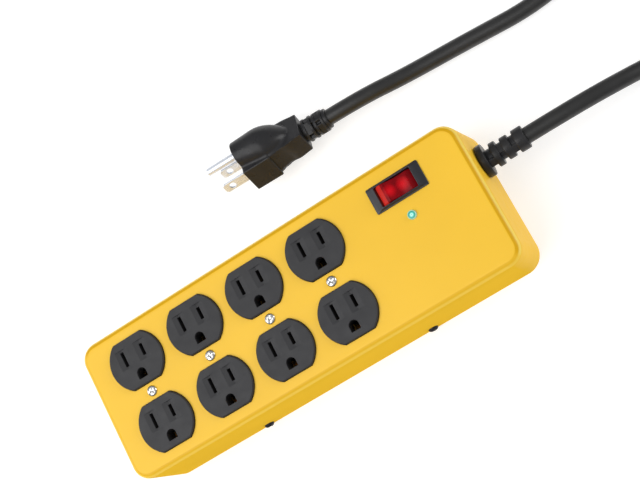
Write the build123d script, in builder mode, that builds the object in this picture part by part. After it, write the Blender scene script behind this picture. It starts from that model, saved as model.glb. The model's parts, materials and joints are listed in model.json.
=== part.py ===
"""Eight-outlet power strip with a lighted rocker switch, a cord, its coil and its plug.

Frame: millimetres, +Z up.  The origin is the middle of the housing's underside.
+X runs along the housing towards the end where the cord leaves, +Y across it.
"""
from build123d import *
import os
from math import cos, pi, radians, sin, tan

os.makedirs("parts", exist_ok=True)

# ---------------------------------------------------------------- driving dimensions
# Housing: a drawn steel cover over a folded base plate
LENGTH, WIDTH = 255.8, 87.5          # outside, at the bottom rim
COVER_HEIGHT = 46.0
WALL = 1.5
DRAFT = 1.745                        # degrees the walls lean in
CORNER_R = 11.4
TOP_EDGE_R = 3.8
PLATE = 1.2
PLATE_GAP = 0.2
FLANGE_HEIGHT = 12.0
FLANGE_HALF_LENGTH = 112.0

# Outlets: four duplex receptacles across the strip
DUPLEX_X = [-94.2 + 40.88 * index for index in range(4)]
OUTLET_Y = 19.45                     # half of the 38.9 mm between the two outlets
FACE_R, FACE_FLATS = 17.1, 28.7
FACE_TOP = 48.0
FACE_GAP = 0.35                      # between a face and its hole in the cover
SLOT_ROW = 4.0                       # slot row above the face's middle
SLOT_X = 6.35
SLOT_WIDTH = 2.1
NEUTRAL_SLOT, HOT_SLOT = 9.0, 7.2
GROUND_DROP = 11.7                   # round top of the ground hole, below the slot row
GROUND_R = 3.0
FACE_CHAMFER = 0.5
LEAD_IN_HALF, LEAD_IN_REACH, LEAD_IN_DEPTH = 4.0, 5.8, 0.9   # the shallow V that guides a blade
WEB_LENGTH, WEB_WIDTH, WEB_CORNER_R = 76.0, 35.0, 3.0
WEB_TOP, WEB_BOTTOM = 44.3, 40.8
BODY_LENGTH, BODY_WIDTH, BODY_CORNER_R, BODY_BOTTOM = 68.0, 34.0, 2.0, 18.0
POCKET_BOTTOM, POCKET_END_GAP = 19.6, 2.0
BLADE_POCKET_X, BLADE_POCKET_WIDTH = 7.6, 6.4
GROUND_POCKET_WIDTH, BOSS_HOLE_R = 7.2, 3.7
BLADE_LANE_Y, GROUND_LANE_Y = 4.0, -8.0   # middles of the blade and ground pockets

# Contacts
BRASS = 0.8
BLADE_GRIP = 0.75                    # half of the space between two leaves
CLIP_BOTTOM, CLIP_TOP = 22.0, 38.0
TAB_BOTTOM, TAB_WIDTH = 13.0, 6.3
TAB_SHARE = 1.7                      # each of a tab's two wires sits this far from its middle
HOT_TAB_Y, NEUTRAL_TAB_Y, GROUND_TAB_Y = 8.0, -3.0, -13.0
BAR_X = 9.6
BAR_LENGTH, BAR_HEIGHT, CLIP_LENGTH = 46.0, 8.0, 7.0
STRAP_WIDTH, STRAP_BOTTOM = 5.0, POCKET_BOTTOM + 0.6
PIN_CLIP_WIDTH, PIN_CLIP_LENGTH, BOSS_R = 6.6, 5.0, 3.2
TAB_HOLE_GAP = 0.2

# Screws
FACE_SCREW_HEAD_R, FACE_SCREW_R, FACE_SCREW_HEAD = 3.15, 1.6, 1.4
SIDE_SCREW_X, SIDE_SCREW_Z = 56.0, 5.6
SIDE_SCREW_HEAD_R, SIDE_SCREW_R = 3.0, 1.45
SIDE_SCREW_HEAD = 1.8
THREAD_GAP = 0.05
SCREW_GAP = 0.3                      # round a screw's shank where it passes a sheet
HEAD_ROUND = 1.1
RECESS_LENGTH, RECESS_WIDTH, RECESS_DEPTH = 3.4, 0.8, 0.9
FACE_SCREW_LENGTH, SIDE_SCREW_LENGTH = 15.0, 7.0

# Ground stud, welded to the base plate
STUD_X, STUD_Y = 104.0, -30.0
STUD_R, STUD_HEIGHT = 2.0, 7.5
RING_R, TONGUE_LENGTH, TONGUE_WIDTH = 4.5, 7.0, 4.0
BARREL_R, BARREL_START, BARREL_LENGTH, BARREL_RISE = 2.0, 6.0, 6.0, 2.7
NUT_R, NUT_HEIGHT = 4.0, 3.2

# Keyholes in the base plate for wall screws
KEYHOLE_X, KEYHOLE_R, KEYHOLE_SLOT_R, KEYHOLE_RUN = 80.0, 4.5, 2.3, 9.0

# Rocker switch
SWITCH_X, SWITCH_Y = 84.7, 25.0
BEZEL_LENGTH, BEZEL_WIDTH, BEZEL_TOP = 32.4, 15.2, 48.8
CASE_LENGTH, CASE_WIDTH, CASE_BOTTOM = 28.4, 13.2, 24.0
OPENING_LENGTH, OPENING_WIDTH = 22.2, 11.6
BEZEL_TOP_LENGTH, BEZEL_TOP_WIDTH = 23.8, 12.8
CASE_CORNER_R, BEZEL_CORNER_R, BEZEL_RIM = 0.6, 0.8, 0.7
CUTOUT_GAP = 0.15
ROCKER_HALF, ROCKER_WIDTH = 10.0, 10.9
ROCKER_TILT = 10.5                   # degrees each side of level
PIVOT_Z = 43.8
TRUNNION_R, TRUNNION_CLEARANCE, TRUNNION_END_GAP = 1.2, 0.06, 0.1
ARM_PIVOT_Z, ARM_TILT, ARM_HALF, ARM_WIDTH = 33.0, 7.0, 9.2, 6.0
ARM_PIN_R, ARM_PIN_LENGTH, CONTACT_R = 0.7, 9.0, 1.2
CRADLE_BOTTOM, CRADLE_LENGTH, CRADLE_WIDTH, CRADLE_HEIGHT = 31.2, 2.4, 8.8, 3.2
ROCKER_BOTTOM, STEM_BOTTOM, STEM_R = -2.6, -7.2, 2.3     # from the pivot
BORE_TOP, PLUNGER_R, PLUNGER_GAP, PLUNGER_REACH, PLUNGER_LENGTH = 1.4, 1.0, 0.15, 9.0, 6.0
SPRING_R, SPRING_WIRE_R, SPRING_HEIGHT, SPRING_PITCH = 0.8, 0.15, 3.6, 0.8
TERMINAL_SPACING = 9.0
TERMINAL_BOTTOM = 14.0
CASE_FLOOR = 1.2
TERMINAL_TOP = 29.4                  # under the raised end of the contact arm
LAMP_TERMINAL_TOP = 27.0
GLOW_TUBE_X, GLOW_TUBE_Z, GLOW_TUBE_R, GLOW_TUBE_LENGTH = 5.4, 28.0, 2.1, 9.2

# Indicator
LAMP_X, LAMP_Y = 84.7, 8.0
LENS_R, LENS_TOP, LENS_ROUND = 2.5, 47.3, 1.2
LENS_FLANGE_R, LENS_FLANGE_BOTTOM, LENS_FLANGE_TOP = 3.3, 43.1, 44.3
HOLDER_R, HOLDER_HEIGHT = 4.1, 8.0
LED_R, LED_HEIGHT, LED_RIM_R, LED_RIM = 1.5, 6.0, 1.9, 1.0
BOARD_TOP, BOARD_THICKNESS = 35.0, 1.6
BOARD_X, BOARD_Y, BOARD_LENGTH, BOARD_WIDTH = 85.0, 1.0, 24.0, 26.0
RESISTOR_X, RESISTOR_Y, RESISTOR_RISE = 79.5, -6.0, 1.6
RESISTOR_R, RESISTOR_LENGTH, RESISTOR_LEAD_R, RESISTOR_SPAN = 1.2, 7.0, 0.3, 10.0

# Cord and its relief in the end wall
CORD_D = 9.4
CORD_Y, CORD_Z = 17.4, 23.5
CORD_HOLE_R = 6.3
RELIEF_END_X = 155.0
WIRE_R, LEAD_R = 1.4, 0.7
WIRE_BEND, LEAD_BEND = 4.0, 2.5

# Coil of the cord's put-away length
COIL_X, COIL_Y = 322.0, 58.0
COIL_INNER_R, COIL_OUTER_R = 33.0, 65.0
COIL_BOTTOM, COIL_TOP = 0.9, 20.2
COIL_EDGE_R = 4.5
TIE_THICKNESS, TIE_WIDTH, TIE_ANGLE = 0.8, 10.0, 20.0
TIE_SIDE_GAP, TIE_TOP_GAP = 0.6, 0.05

# Plug: face to the left, lying on its lower far edge
PLUG_FACE_X, PLUG_FACE_Y, PLUG_Z = 7.2, 91.2, 13.9
PLUG_ROLL, PLUG_YAW = 33.0, -1.5
BLOCK_WIDTH, BLOCK_LENGTH = 26.4, 17.9
BLOCK_LOW, BLOCK_HIGH = -7.9, 8.6
BLOCK_EDGE_R = 1.2
GRIP_START, GRIP_END = 22.0, 39.6
GRIP_SHRINK = 1.0                    # the grip is this much lower than the block
PLUG_RELIEF_END = 56.2
BLADE_SPACING, BLADE_WIDTH, BLADE_THICKNESS, BLADE_LENGTH = 12.7, 6.35, 1.5, 17.5
BLADE_HOLE_R, BLADE_HOLE_FROM_FACE, BLADE_CHAMFER = 2.0, 11.9, 1.2
GROUND_PIN_R, GROUND_PIN_LENGTH, GROUND_OFFSET, PIN_END_R = 2.375, 21.0, 11.9, 2.0
BLADE_ROOT = 9.0                     # length of blade and pin held in the plug's body

# Route of the uncoiled cord, point by point
STRIP_ROUTE = [
    (RELIEF_END_X, CORD_Y, CORD_Z),
    (185.5, CORD_Y, CORD_Z),
    (217.0, 17.8, 15.5),
    (245.0, 17.8, 4.9),
    (275.0, 9.0, 4.8),
    (303.0, 0.9, 5.5),
]
PLUG_ROUTE = [
    (63.38, 89.73, PLUG_Z),
    (86.0, 89.14, PLUG_Z),
    (112.0, 88.2, 6.6),
    (150.0, 86.2, 4.8),
    (200.0, 81.8, 4.8),
    (250.0, 94.5, 4.9),
    (280.0, 103.4, 9.0),
    (306.0, 111.0, 14.6),
]


# ---------------------------------------------------------------- helpers
def save(piece, label):
    """Name a finished piece and write it."""
    piece.part.label = label
    export_step(piece.part, f"parts/{label}.step")


def tube(points, radii, radius):
    """A round tube along straight runs joined by tangent arcs."""
    with BuildPart() as piece:
        with BuildLine() as route:
            FilletPolyline(*points, radius=radii)
        with BuildSketch(Plane(origin=route.line @ 0, z_dir=route.line % 0)):
            Circle(radius)
        sweep(path=route.line)
    return piece


def rounded_length(points, radii):
    """Length of the runs when each corner is cut by its arc."""
    total = sum((Vector(*b) - Vector(*a)).length for a, b in zip(points, points[1:]))
    for before, corner, after, radius in zip(points, points[1:], points[2:], radii):
        turn = radians((Vector(*corner) - Vector(*before)).get_angle(Vector(*after) - Vector(*corner)))
        total -= radius * (2 * tan(turn / 2) - turn)
    return total


def side_plane(x, y, z):
    """An upright plane through a point, with X to the right and Z up."""
    return Plane(origin=(x, y, z), x_dir=(1, 0, 0), z_dir=(0, -1, 0))


def free_bend_radii(points):
    """Each corner's radius: as large as its two runs allow."""
    radii = []
    for before, corner, after in zip(points, points[1:], points[2:]):
        run_in = Vector(*corner) - Vector(*before)
        run_out = Vector(*after) - Vector(*corner)
        turn = radians(run_in.get_angle(run_out))
        radii.append(0.45 * min(run_in.length, run_out.length) / tan(turn / 2))
    return radii


def face_outline(centre_x, centre_y, gap=0.0):
    """Round outlet face with two flats, drawn in the current sketch."""
    with BuildSketch(mode=Mode.PRIVATE) as outline:
        Circle(FACE_R + gap)
        Rectangle(3 * FACE_R, FACE_FLATS + 2 * gap, mode=Mode.INTERSECT)
    with Locations((centre_x, centre_y)):
        add(outline.sketch)


def slot_rows():
    """Places across the strip of a duplex's two slot rows."""
    return [OUTLET_Y + SLOT_ROW, -OUTLET_Y + SLOT_ROW]


def pan_screw(head_r, head_height, shank_r, shank_length):
    """A cross-recess screw on the origin, its head above the plane Z = 0."""
    with BuildPart() as piece:
        with BuildSketch():
            Circle(head_r)
        extrude(amount=head_height)
        fillet(piece.edges().group_by(Axis.Z)[-1], HEAD_ROUND)
        with BuildSketch(Plane.XY.offset(head_height)):
            Rectangle(RECESS_LENGTH, RECESS_WIDTH)
            Rectangle(RECESS_WIDTH, RECESS_LENGTH)
        extrude(amount=-RECESS_DEPTH, mode=Mode.SUBTRACT)
        with BuildSketch():
            Circle(shank_r)
        extrude(amount=-shank_length)
    return piece.part


# ---------------------------------------------------------------- housing
with BuildPart() as cover_inside:
    with BuildSketch():
        RectangleRounded(LENGTH - 2 * WALL, WIDTH - 2 * WALL, CORNER_R - WALL)
    extrude(amount=COVER_HEIGHT - WALL, taper=DRAFT)
    fillet(cover_inside.edges().group_by(Axis.Z)[-1], TOP_EDGE_R - WALL)

with BuildPart() as top_cover:
    with BuildSketch():
        RectangleRounded(LENGTH, WIDTH, CORNER_R)
    extrude(amount=COVER_HEIGHT, taper=DRAFT)
    fillet(top_cover.edges().group_by(Axis.Z)[-1], TOP_EDGE_R)
    add(cover_inside.part, mode=Mode.SUBTRACT)
    with BuildSketch(Plane.XY.offset(COVER_HEIGHT)):
        for duplex_x in DUPLEX_X:
            face_outline(duplex_x, OUTLET_Y, FACE_GAP)
            face_outline(duplex_x, -OUTLET_Y, FACE_GAP)
            with Locations((duplex_x, 0)):
                Circle(FACE_SCREW_R + SCREW_GAP)
        with Locations((SWITCH_X, SWITCH_Y)):
            Rectangle(CASE_LENGTH + 2 * CUTOUT_GAP, CASE_WIDTH + 2 * CUTOUT_GAP)
        with Locations((LAMP_X, LAMP_Y)):
            Circle(LENS_R + CUTOUT_GAP)
    extrude(amount=-3 * WALL, mode=Mode.SUBTRACT)
    with BuildSketch(Plane.XZ.offset(-WIDTH)):
        with Locations((-SIDE_SCREW_X, SIDE_SCREW_Z), (SIDE_SCREW_X, SIDE_SCREW_Z)):
            Circle(SIDE_SCREW_R + SCREW_GAP)
    extrude(amount=2 * WIDTH, mode=Mode.SUBTRACT)
    with BuildSketch(Plane.YZ.offset(LENGTH / 2 - 4 * WALL)):
        with Locations((CORD_Y, CORD_Z)):
            Circle(CORD_HOLE_R)
    extrude(amount=8 * WALL, mode=Mode.SUBTRACT)
save(top_cover, "top_cover")

with BuildPart() as base_plate:
    plate_length = LENGTH - 2 * (WALL + PLATE_GAP)
    plate_width = WIDTH - 2 * (WALL + PLATE_GAP)
    plate_corner = CORNER_R - WALL - PLATE_GAP
    with BuildSketch():
        RectangleRounded(plate_length, plate_width, plate_corner)
    extrude(amount=FLANGE_HEIGHT, taper=DRAFT)
    with BuildSketch(Plane.XY.offset(PLATE)):
        RectangleRounded(plate_length - 2 * PLATE, plate_width - 2 * PLATE, plate_corner - PLATE)
    extrude(amount=FLANGE_HEIGHT, taper=DRAFT, mode=Mode.SUBTRACT)
    with BuildSketch(Plane.XY.offset(PLATE)):
        Rectangle(2 * LENGTH, 2 * WIDTH)
        Rectangle(2 * FLANGE_HALF_LENGTH, 2 * WIDTH, mode=Mode.SUBTRACT)
    extrude(amount=2 * FLANGE_HEIGHT, mode=Mode.SUBTRACT)
    with BuildSketch(Plane.XY):
        for keyhole_x in (-KEYHOLE_X, KEYHOLE_X):
            with Locations((keyhole_x, 0)):
                Circle(KEYHOLE_R)
            with Locations((keyhole_x + KEYHOLE_RUN / 2, 0)):
                SlotCenterToCenter(KEYHOLE_RUN, 2 * KEYHOLE_SLOT_R)
    extrude(amount=PLATE, mode=Mode.SUBTRACT)
    with BuildSketch(Plane.XZ.offset(-WIDTH)):
        with Locations((-SIDE_SCREW_X, SIDE_SCREW_Z), (SIDE_SCREW_X, SIDE_SCREW_Z)):
            Circle(SIDE_SCREW_R + THREAD_GAP)
    extrude(amount=2 * WIDTH, mode=Mode.SUBTRACT)
    with BuildSketch(Plane.XY.offset(PLATE)):
        with Locations((STUD_X, STUD_Y)):
            Circle(STUD_R)
    extrude(amount=STUD_HEIGHT)
save(base_plate, "base_plate")

SIDE_WALL_Y = WIDTH / 2 - (SIDE_SCREW_Z - SIDE_SCREW_HEAD_R) * tan(radians(DRAFT))
side_screw = pan_screw(SIDE_SCREW_HEAD_R, SIDE_SCREW_HEAD, SIDE_SCREW_R, SIDE_SCREW_LENGTH)
with BuildPart() as base_screws:
    for screw_x in (-SIDE_SCREW_X, SIDE_SCREW_X):
        for side in (1, -1):
            with Locations(Location((screw_x, side * SIDE_WALL_Y, SIDE_SCREW_Z), (-90 * side, 0, 0))):
                add(side_screw)
save(base_screws, "base_screws")

# ---------------------------------------------------------------- receptacles
face_screw = pan_screw(FACE_SCREW_HEAD_R, FACE_SCREW_HEAD, FACE_SCREW_R, FACE_SCREW_LENGTH)
with BuildPart() as receptacle_screws:
    with Locations([(duplex_x, 0, COVER_HEIGHT) for duplex_x in DUPLEX_X]):
        add(face_screw)
save(receptacle_screws, "receptacle_screws")

for number, duplex_x in enumerate(DUPLEX_X, start=1):
    duplex = Plane(origin=(duplex_x, 0, 0))

    with BuildPart() as receptacle_face:
        with BuildSketch(duplex.offset(WEB_BOTTOM)):
            RectangleRounded(WEB_WIDTH, WEB_LENGTH, WEB_CORNER_R)
        extrude(amount=WEB_TOP - WEB_BOTTOM)
        with BuildSketch(duplex.offset(WEB_TOP)):
            face_outline(0, OUTLET_Y)
            face_outline(0, -OUTLET_Y)
        extrude(amount=FACE_TOP - WEB_TOP)
        chamfer(receptacle_face.edges().group_by(Axis.Z)[-1], FACE_CHAMFER)
        with BuildSketch(duplex.offset(FACE_TOP)):
            Circle(FACE_SCREW_R + SCREW_GAP)
            for row_y in slot_rows():
                with Locations((-SLOT_X, row_y)):
                    Rectangle(SLOT_WIDTH, NEUTRAL_SLOT)
                with Locations((SLOT_X, row_y)):
                    Rectangle(SLOT_WIDTH, HOT_SLOT)
                with Locations((0, row_y - GROUND_DROP)):
                    Circle(GROUND_R)
                with Locations((0, row_y - GROUND_DROP - GROUND_R / 2)):
                    Rectangle(2 * GROUND_R, GROUND_R)
        extrude(amount=WEB_BOTTOM - FACE_TOP, mode=Mode.SUBTRACT)
        for row_y in slot_rows():
            for slot_x in (-SLOT_X, SLOT_X):
                with BuildSketch(side_plane(duplex_x + slot_x, row_y, FACE_TOP)):
                    with BuildLine():
                        Polyline((-LEAD_IN_HALF, 0), (LEAD_IN_HALF, 0), (0, -LEAD_IN_DEPTH), close=True)
                    make_face()
                extrude(amount=LEAD_IN_REACH, both=True, mode=Mode.SUBTRACT)
    save(receptacle_face, f"receptacle_{number}_face")

    with BuildPart() as receptacle_body:
        with BuildSketch(duplex.offset(BODY_BOTTOM)):
            RectangleRounded(BODY_WIDTH, BODY_LENGTH, BODY_CORNER_R)
        extrude(amount=WEB_BOTTOM - BODY_BOTTOM)
        with BuildSketch(duplex.offset(WEB_BOTTOM)):
            with Locations((-BLADE_POCKET_X, BLADE_LANE_Y), (BLADE_POCKET_X, BLADE_LANE_Y)):
                Rectangle(BLADE_POCKET_WIDTH, BAR_LENGTH + 2 * POCKET_END_GAP)
            with Locations((0, GROUND_LANE_Y)):
                Rectangle(GROUND_POCKET_WIDTH, BAR_LENGTH + 2 * POCKET_END_GAP)
            Circle(BOSS_HOLE_R)
        extrude(amount=POCKET_BOTTOM - WEB_BOTTOM, mode=Mode.SUBTRACT)
        with BuildSketch(duplex.offset(POCKET_BOTTOM)):
            for tab_x, tab_y in ((BAR_X, HOT_TAB_Y), (-BAR_X, NEUTRAL_TAB_Y), (0, GROUND_TAB_Y)):
                with Locations((tab_x, tab_y)):
                    Rectangle(BRASS + 2 * TAB_HOLE_GAP, TAB_WIDTH + 2 * TAB_HOLE_GAP)
        extrude(amount=BODY_BOTTOM - POCKET_BOTTOM, mode=Mode.SUBTRACT)
    save(receptacle_body, f"receptacle_{number}_body")

    for side, tab_y, label in ((1, HOT_TAB_Y, "hot"), (-1, NEUTRAL_TAB_Y, "neutral")):
        with BuildPart() as contact_strip:
            with BuildSketch(duplex.offset(CLIP_BOTTOM)):
                with Locations((side * BAR_X, BLADE_LANE_Y)):
                    Rectangle(BRASS, BAR_LENGTH)
            extrude(amount=BAR_HEIGHT)
            with BuildSketch(duplex.offset(TAB_BOTTOM)):
                with Locations((side * BAR_X, tab_y)):
                    Rectangle(BRASS, TAB_WIDTH)
            extrude(amount=CLIP_BOTTOM - TAB_BOTTOM)
            for row_y in slot_rows():
                inner_x = SLOT_X - BLADE_GRIP - BRASS
                outer_x = BAR_X + BRASS / 2
                with BuildSketch(duplex.offset(CLIP_BOTTOM)):
                    with Locations((side * (inner_x + outer_x) / 2, row_y)):
                        Rectangle(outer_x - inner_x, CLIP_LENGTH)
                extrude(amount=BRASS)
                with BuildSketch(duplex.offset(CLIP_BOTTOM)):
                    for leaf in (1, -1):
                        with Locations((side * SLOT_X + leaf * (BLADE_GRIP + BRASS / 2), row_y)):
                            Rectangle(BRASS, CLIP_LENGTH)
                extrude(amount=CLIP_TOP - CLIP_BOTTOM)
        save(contact_strip, f"receptacle_{number}_{label}_strip")

    with BuildPart() as ground_strap:
        with BuildSketch(duplex.offset(STRAP_BOTTOM)):
            with Locations((0, GROUND_LANE_Y)):
                Rectangle(STRAP_WIDTH, BAR_LENGTH)
            with Locations([(0, row_y - GROUND_OFFSET) for row_y in slot_rows()]):
                Rectangle(PIN_CLIP_WIDTH, PIN_CLIP_LENGTH)
        extrude(amount=BRASS)
        with BuildSketch(duplex.offset(STRAP_BOTTOM)):
            with Locations([(0, row_y - GROUND_OFFSET) for row_y in slot_rows()]):
                Rectangle(PIN_CLIP_WIDTH, PIN_CLIP_LENGTH)
                Rectangle(PIN_CLIP_WIDTH - 2 * BRASS, PIN_CLIP_LENGTH, mode=Mode.SUBTRACT)
        extrude(amount=CLIP_TOP - STRAP_BOTTOM)
        with BuildSketch(duplex.offset(TAB_BOTTOM)):
            with Locations((0, GROUND_TAB_Y)):
                Rectangle(BRASS, TAB_WIDTH)
        extrude(amount=STRAP_BOTTOM - TAB_BOTTOM)
        with BuildSketch(duplex.offset(STRAP_BOTTOM)):
            Circle(BOSS_R)
        extrude(amount=WEB_BOTTOM - STRAP_BOTTOM - THREAD_GAP)
        with BuildSketch(duplex.offset(WEB_BOTTOM)):
            Circle(FACE_SCREW_R + THREAD_GAP)
        extrude(amount=-FACE_SCREW_LENGTH, mode=Mode.SUBTRACT)
    save(ground_strap, f"receptacle_{number}_ground_strap")

# ---------------------------------------------------------------- rocker switch
SWITCH = Plane(origin=(SWITCH_X, SWITCH_Y, 0))
SWITCH_SIDE = side_plane(SWITCH_X, SWITCH_Y, 0)

with BuildPart() as switch_case:
    with BuildSketch(SWITCH.offset(CASE_BOTTOM)):
        RectangleRounded(CASE_LENGTH, CASE_WIDTH, CASE_CORNER_R)
    extrude(amount=COVER_HEIGHT - CASE_BOTTOM)
    with BuildSketch(SWITCH.offset(COVER_HEIGHT)):
        RectangleRounded(BEZEL_LENGTH, BEZEL_WIDTH, BEZEL_CORNER_R)
    extrude(amount=BEZEL_RIM)
    with BuildSketch(SWITCH.offset(COVER_HEIGHT + BEZEL_RIM)):
        RectangleRounded(BEZEL_LENGTH, BEZEL_WIDTH, BEZEL_CORNER_R)
    with BuildSketch(SWITCH.offset(BEZEL_TOP)):
        RectangleRounded(BEZEL_TOP_LENGTH, BEZEL_TOP_WIDTH, CASE_CORNER_R)
    loft()
    with BuildSketch(SWITCH.offset(BEZEL_TOP)):
        Rectangle(OPENING_LENGTH, OPENING_WIDTH)
    extrude(amount=CASE_BOTTOM + CASE_FLOOR - BEZEL_TOP, mode=Mode.SUBTRACT)
    with BuildSketch(SWITCH.offset(CASE_BOTTOM + CASE_FLOOR)):
        with GridLocations(TERMINAL_SPACING, 0, 3, 1):
            Rectangle(BRASS + TAB_HOLE_GAP, TAB_WIDTH + TAB_HOLE_GAP)
    extrude(amount=-CASE_FLOOR, mode=Mode.SUBTRACT)
    with BuildSketch(SWITCH_SIDE):
        with Locations((0, PIVOT_Z)):
            Circle(TRUNNION_R + TRUNNION_CLEARANCE)
    extrude(amount=CASE_WIDTH, both=True, mode=Mode.SUBTRACT)
save(switch_case, "switch_case")

# The rocker is drawn level about its pivot, then turned to its stop.
ROCKER_PIVOT = Location((SWITCH_X, SWITCH_Y, PIVOT_Z), (0, ROCKER_TILT, 0))
with BuildPart() as rocker_level:
    with BuildSketch(Plane.XZ):
        with BuildLine():
            Polyline((-ROCKER_HALF, 5.4), (-7.6, 4.9), (0, 3.5), (7.6, 4.9), (ROCKER_HALF, 5.4),
                     (10.3, 2.0), (10.0, -1.2), (7.0, ROCKER_BOTTOM), (-7.0, ROCKER_BOTTOM),
                     (-10.0, -1.2), (-10.3, 2.0), close=True)
        make_face()
    extrude(amount=ROCKER_WIDTH / 2, both=True)
    fillet(rocker_level.edges().filter_by(Axis.Y).group_by(Axis.Z)[-1], 0.5)
    with BuildSketch(Plane.XY.offset(STEM_BOTTOM)):
        Circle(STEM_R)
    extrude(amount=ROCKER_BOTTOM - STEM_BOTTOM)
    with BuildSketch(Plane.XZ):
        Circle(TRUNNION_R)
    extrude(amount=CASE_WIDTH / 2 - TRUNNION_END_GAP, both=True)
    with BuildSketch(Plane.XY.offset(STEM_BOTTOM)):
        Circle(PLUNGER_R + PLUNGER_GAP)
    extrude(amount=BORE_TOP - STEM_BOTTOM, mode=Mode.SUBTRACT)
with BuildPart() as switch_rocker:
    with Locations(ROCKER_PIVOT):
        add(rocker_level.part)
save(switch_rocker, "switch_rocker")

with BuildPart() as plunger_level:
    with BuildSketch(Plane.XY.offset(-PLUNGER_REACH)):
        Circle(PLUNGER_R)
    extrude(amount=PLUNGER_LENGTH)
    with Locations((0, 0, -PLUNGER_REACH)):
        Sphere(PLUNGER_R)
with BuildPart() as switch_plunger:
    with Locations(ROCKER_PIVOT):
        add(plunger_level.part)
save(switch_plunger, "switch_plunger")

with BuildPart() as spring_level:
    with BuildLine(Plane.XY.offset(PLUNGER_LENGTH + PLUNGER_GAP - PLUNGER_REACH)) as spring_line:
        Helix(pitch=SPRING_PITCH, height=SPRING_HEIGHT, radius=SPRING_R)
    with BuildSketch(Plane(origin=spring_line.line @ 0, z_dir=spring_line.line % 0)):
        Circle(SPRING_WIRE_R)
    sweep(path=spring_line.line, is_frenet=True)
with BuildPart() as switch_spring:
    with Locations(ROCKER_PIVOT):
        add(spring_level.part)
save(switch_spring, "switch_spring")

with BuildPart() as arm_level:
    with BuildSketch(Plane.XZ):
        Rectangle(2 * ARM_HALF, BRASS)
    extrude(amount=ARM_WIDTH / 2, both=True)
    with BuildSketch(Plane.XZ):
        Circle(ARM_PIN_R)
    extrude(amount=ARM_PIN_LENGTH / 2, both=True)
    with BuildSketch(Plane.XY.offset(-BRASS / 2)):
        with Locations((1 - ARM_HALF, 0)):
            Circle(CONTACT_R)
    extrude(amount=-BRASS)
with BuildPart() as switch_contact_arm:
    with Locations(Location((SWITCH_X, SWITCH_Y, ARM_PIVOT_Z), (0, -ARM_TILT, 0))):
        add(arm_level.part)
save(switch_contact_arm, "switch_contact_arm")

with BuildPart() as switch_line_terminal:
    with BuildSketch(SWITCH.offset(TERMINAL_BOTTOM)):
        with Locations((-TERMINAL_SPACING, 0)):
            Rectangle(BRASS, TAB_WIDTH)
    extrude(amount=TERMINAL_TOP - TERMINAL_BOTTOM)
    with BuildSketch(SWITCH.offset(TERMINAL_TOP)):
        with Locations((-TERMINAL_SPACING + 1, 0)):
            Rectangle(2.8, 4)
    extrude(amount=BRASS)
save(switch_line_terminal, "switch_line_terminal")

with BuildPart() as switch_load_terminal:
    with BuildSketch(SWITCH.offset(TERMINAL_BOTTOM)):
        Rectangle(BRASS, TAB_WIDTH)
    extrude(amount=CRADLE_BOTTOM - TERMINAL_BOTTOM)
    with BuildSketch(SWITCH.offset(CRADLE_BOTTOM)):
        Rectangle(CRADLE_LENGTH, CRADLE_WIDTH)
    extrude(amount=BRASS)
    with BuildSketch(SWITCH.offset(CRADLE_BOTTOM)):
        with GridLocations(0, CRADLE_WIDTH - BRASS, 1, 2):
            Rectangle(CRADLE_LENGTH, BRASS)
    extrude(amount=CRADLE_HEIGHT)
    with BuildSketch(side_plane(SWITCH_X, SWITCH_Y, ARM_PIVOT_Z)):
        Circle(ARM_PIN_R + TRUNNION_CLEARANCE)
    extrude(amount=CRADLE_WIDTH, both=True, mode=Mode.SUBTRACT)
save(switch_load_terminal, "switch_load_terminal")

with BuildPart() as switch_lamp_terminal:
    with BuildSketch(SWITCH.offset(TERMINAL_BOTTOM)):
        with Locations((TERMINAL_SPACING, 0)):
            Rectangle(BRASS, TAB_WIDTH)
    extrude(amount=LAMP_TERMINAL_TOP - TERMINAL_BOTTOM)
save(switch_lamp_terminal, "switch_lamp_terminal")

with BuildPart() as switch_lamp:
    with BuildSketch(SWITCH_SIDE.offset(-GLOW_TUBE_LENGTH / 2)):
        with Locations((GLOW_TUBE_X, GLOW_TUBE_Z)):
            Circle(GLOW_TUBE_R)
    extrude(amount=GLOW_TUBE_LENGTH)
    fillet(switch_lamp.edges().filter_by(GeomType.CIRCLE), 1.2)
save(switch_lamp, "switch_lamp")

# ---------------------------------------------------------------- indicator
INDICATOR = Plane(origin=(LAMP_X, LAMP_Y, 0))

with BuildPart() as indicator_lens:
    with BuildSketch(INDICATOR.offset(LENS_FLANGE_BOTTOM)):
        Circle(LENS_FLANGE_R)
    extrude(amount=LENS_FLANGE_TOP - LENS_FLANGE_BOTTOM)
    with BuildSketch(INDICATOR.offset(LENS_FLANGE_TOP)):
        Circle(LENS_R)
    extrude(amount=LENS_TOP - LENS_FLANGE_TOP)
    fillet(indicator_lens.edges().group_by(Axis.Z)[-1], LENS_ROUND)
save(indicator_lens, "indicator_lens")

with BuildPart() as indicator_holder:
    with BuildSketch(INDICATOR.offset(BOARD_TOP)):
        Circle(HOLDER_R)
        Circle(LENS_R, mode=Mode.SUBTRACT)
    extrude(amount=HOLDER_HEIGHT)
save(indicator_holder, "indicator_holder")

with BuildPart() as indicator_led:
    with BuildSketch(INDICATOR.offset(BOARD_TOP)):
        Circle(LED_R)
    extrude(amount=LED_HEIGHT)
    fillet(indicator_led.edges().group_by(Axis.Z)[-1], 0.85 * LED_R)
    with BuildSketch(INDICATOR.offset(BOARD_TOP)):
        Circle(LED_RIM_R)
    extrude(amount=LED_RIM)
save(indicator_led, "indicator_led")

with BuildPart() as indicator_board:
    with BuildSketch(Plane.XY.offset(BOARD_TOP - BOARD_THICKNESS)):
        with Locations((BOARD_X, BOARD_Y)):
            RectangleRounded(BOARD_LENGTH, BOARD_WIDTH, 1)
    extrude(amount=BOARD_THICKNESS)
save(indicator_board, "indicator_board")

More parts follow.
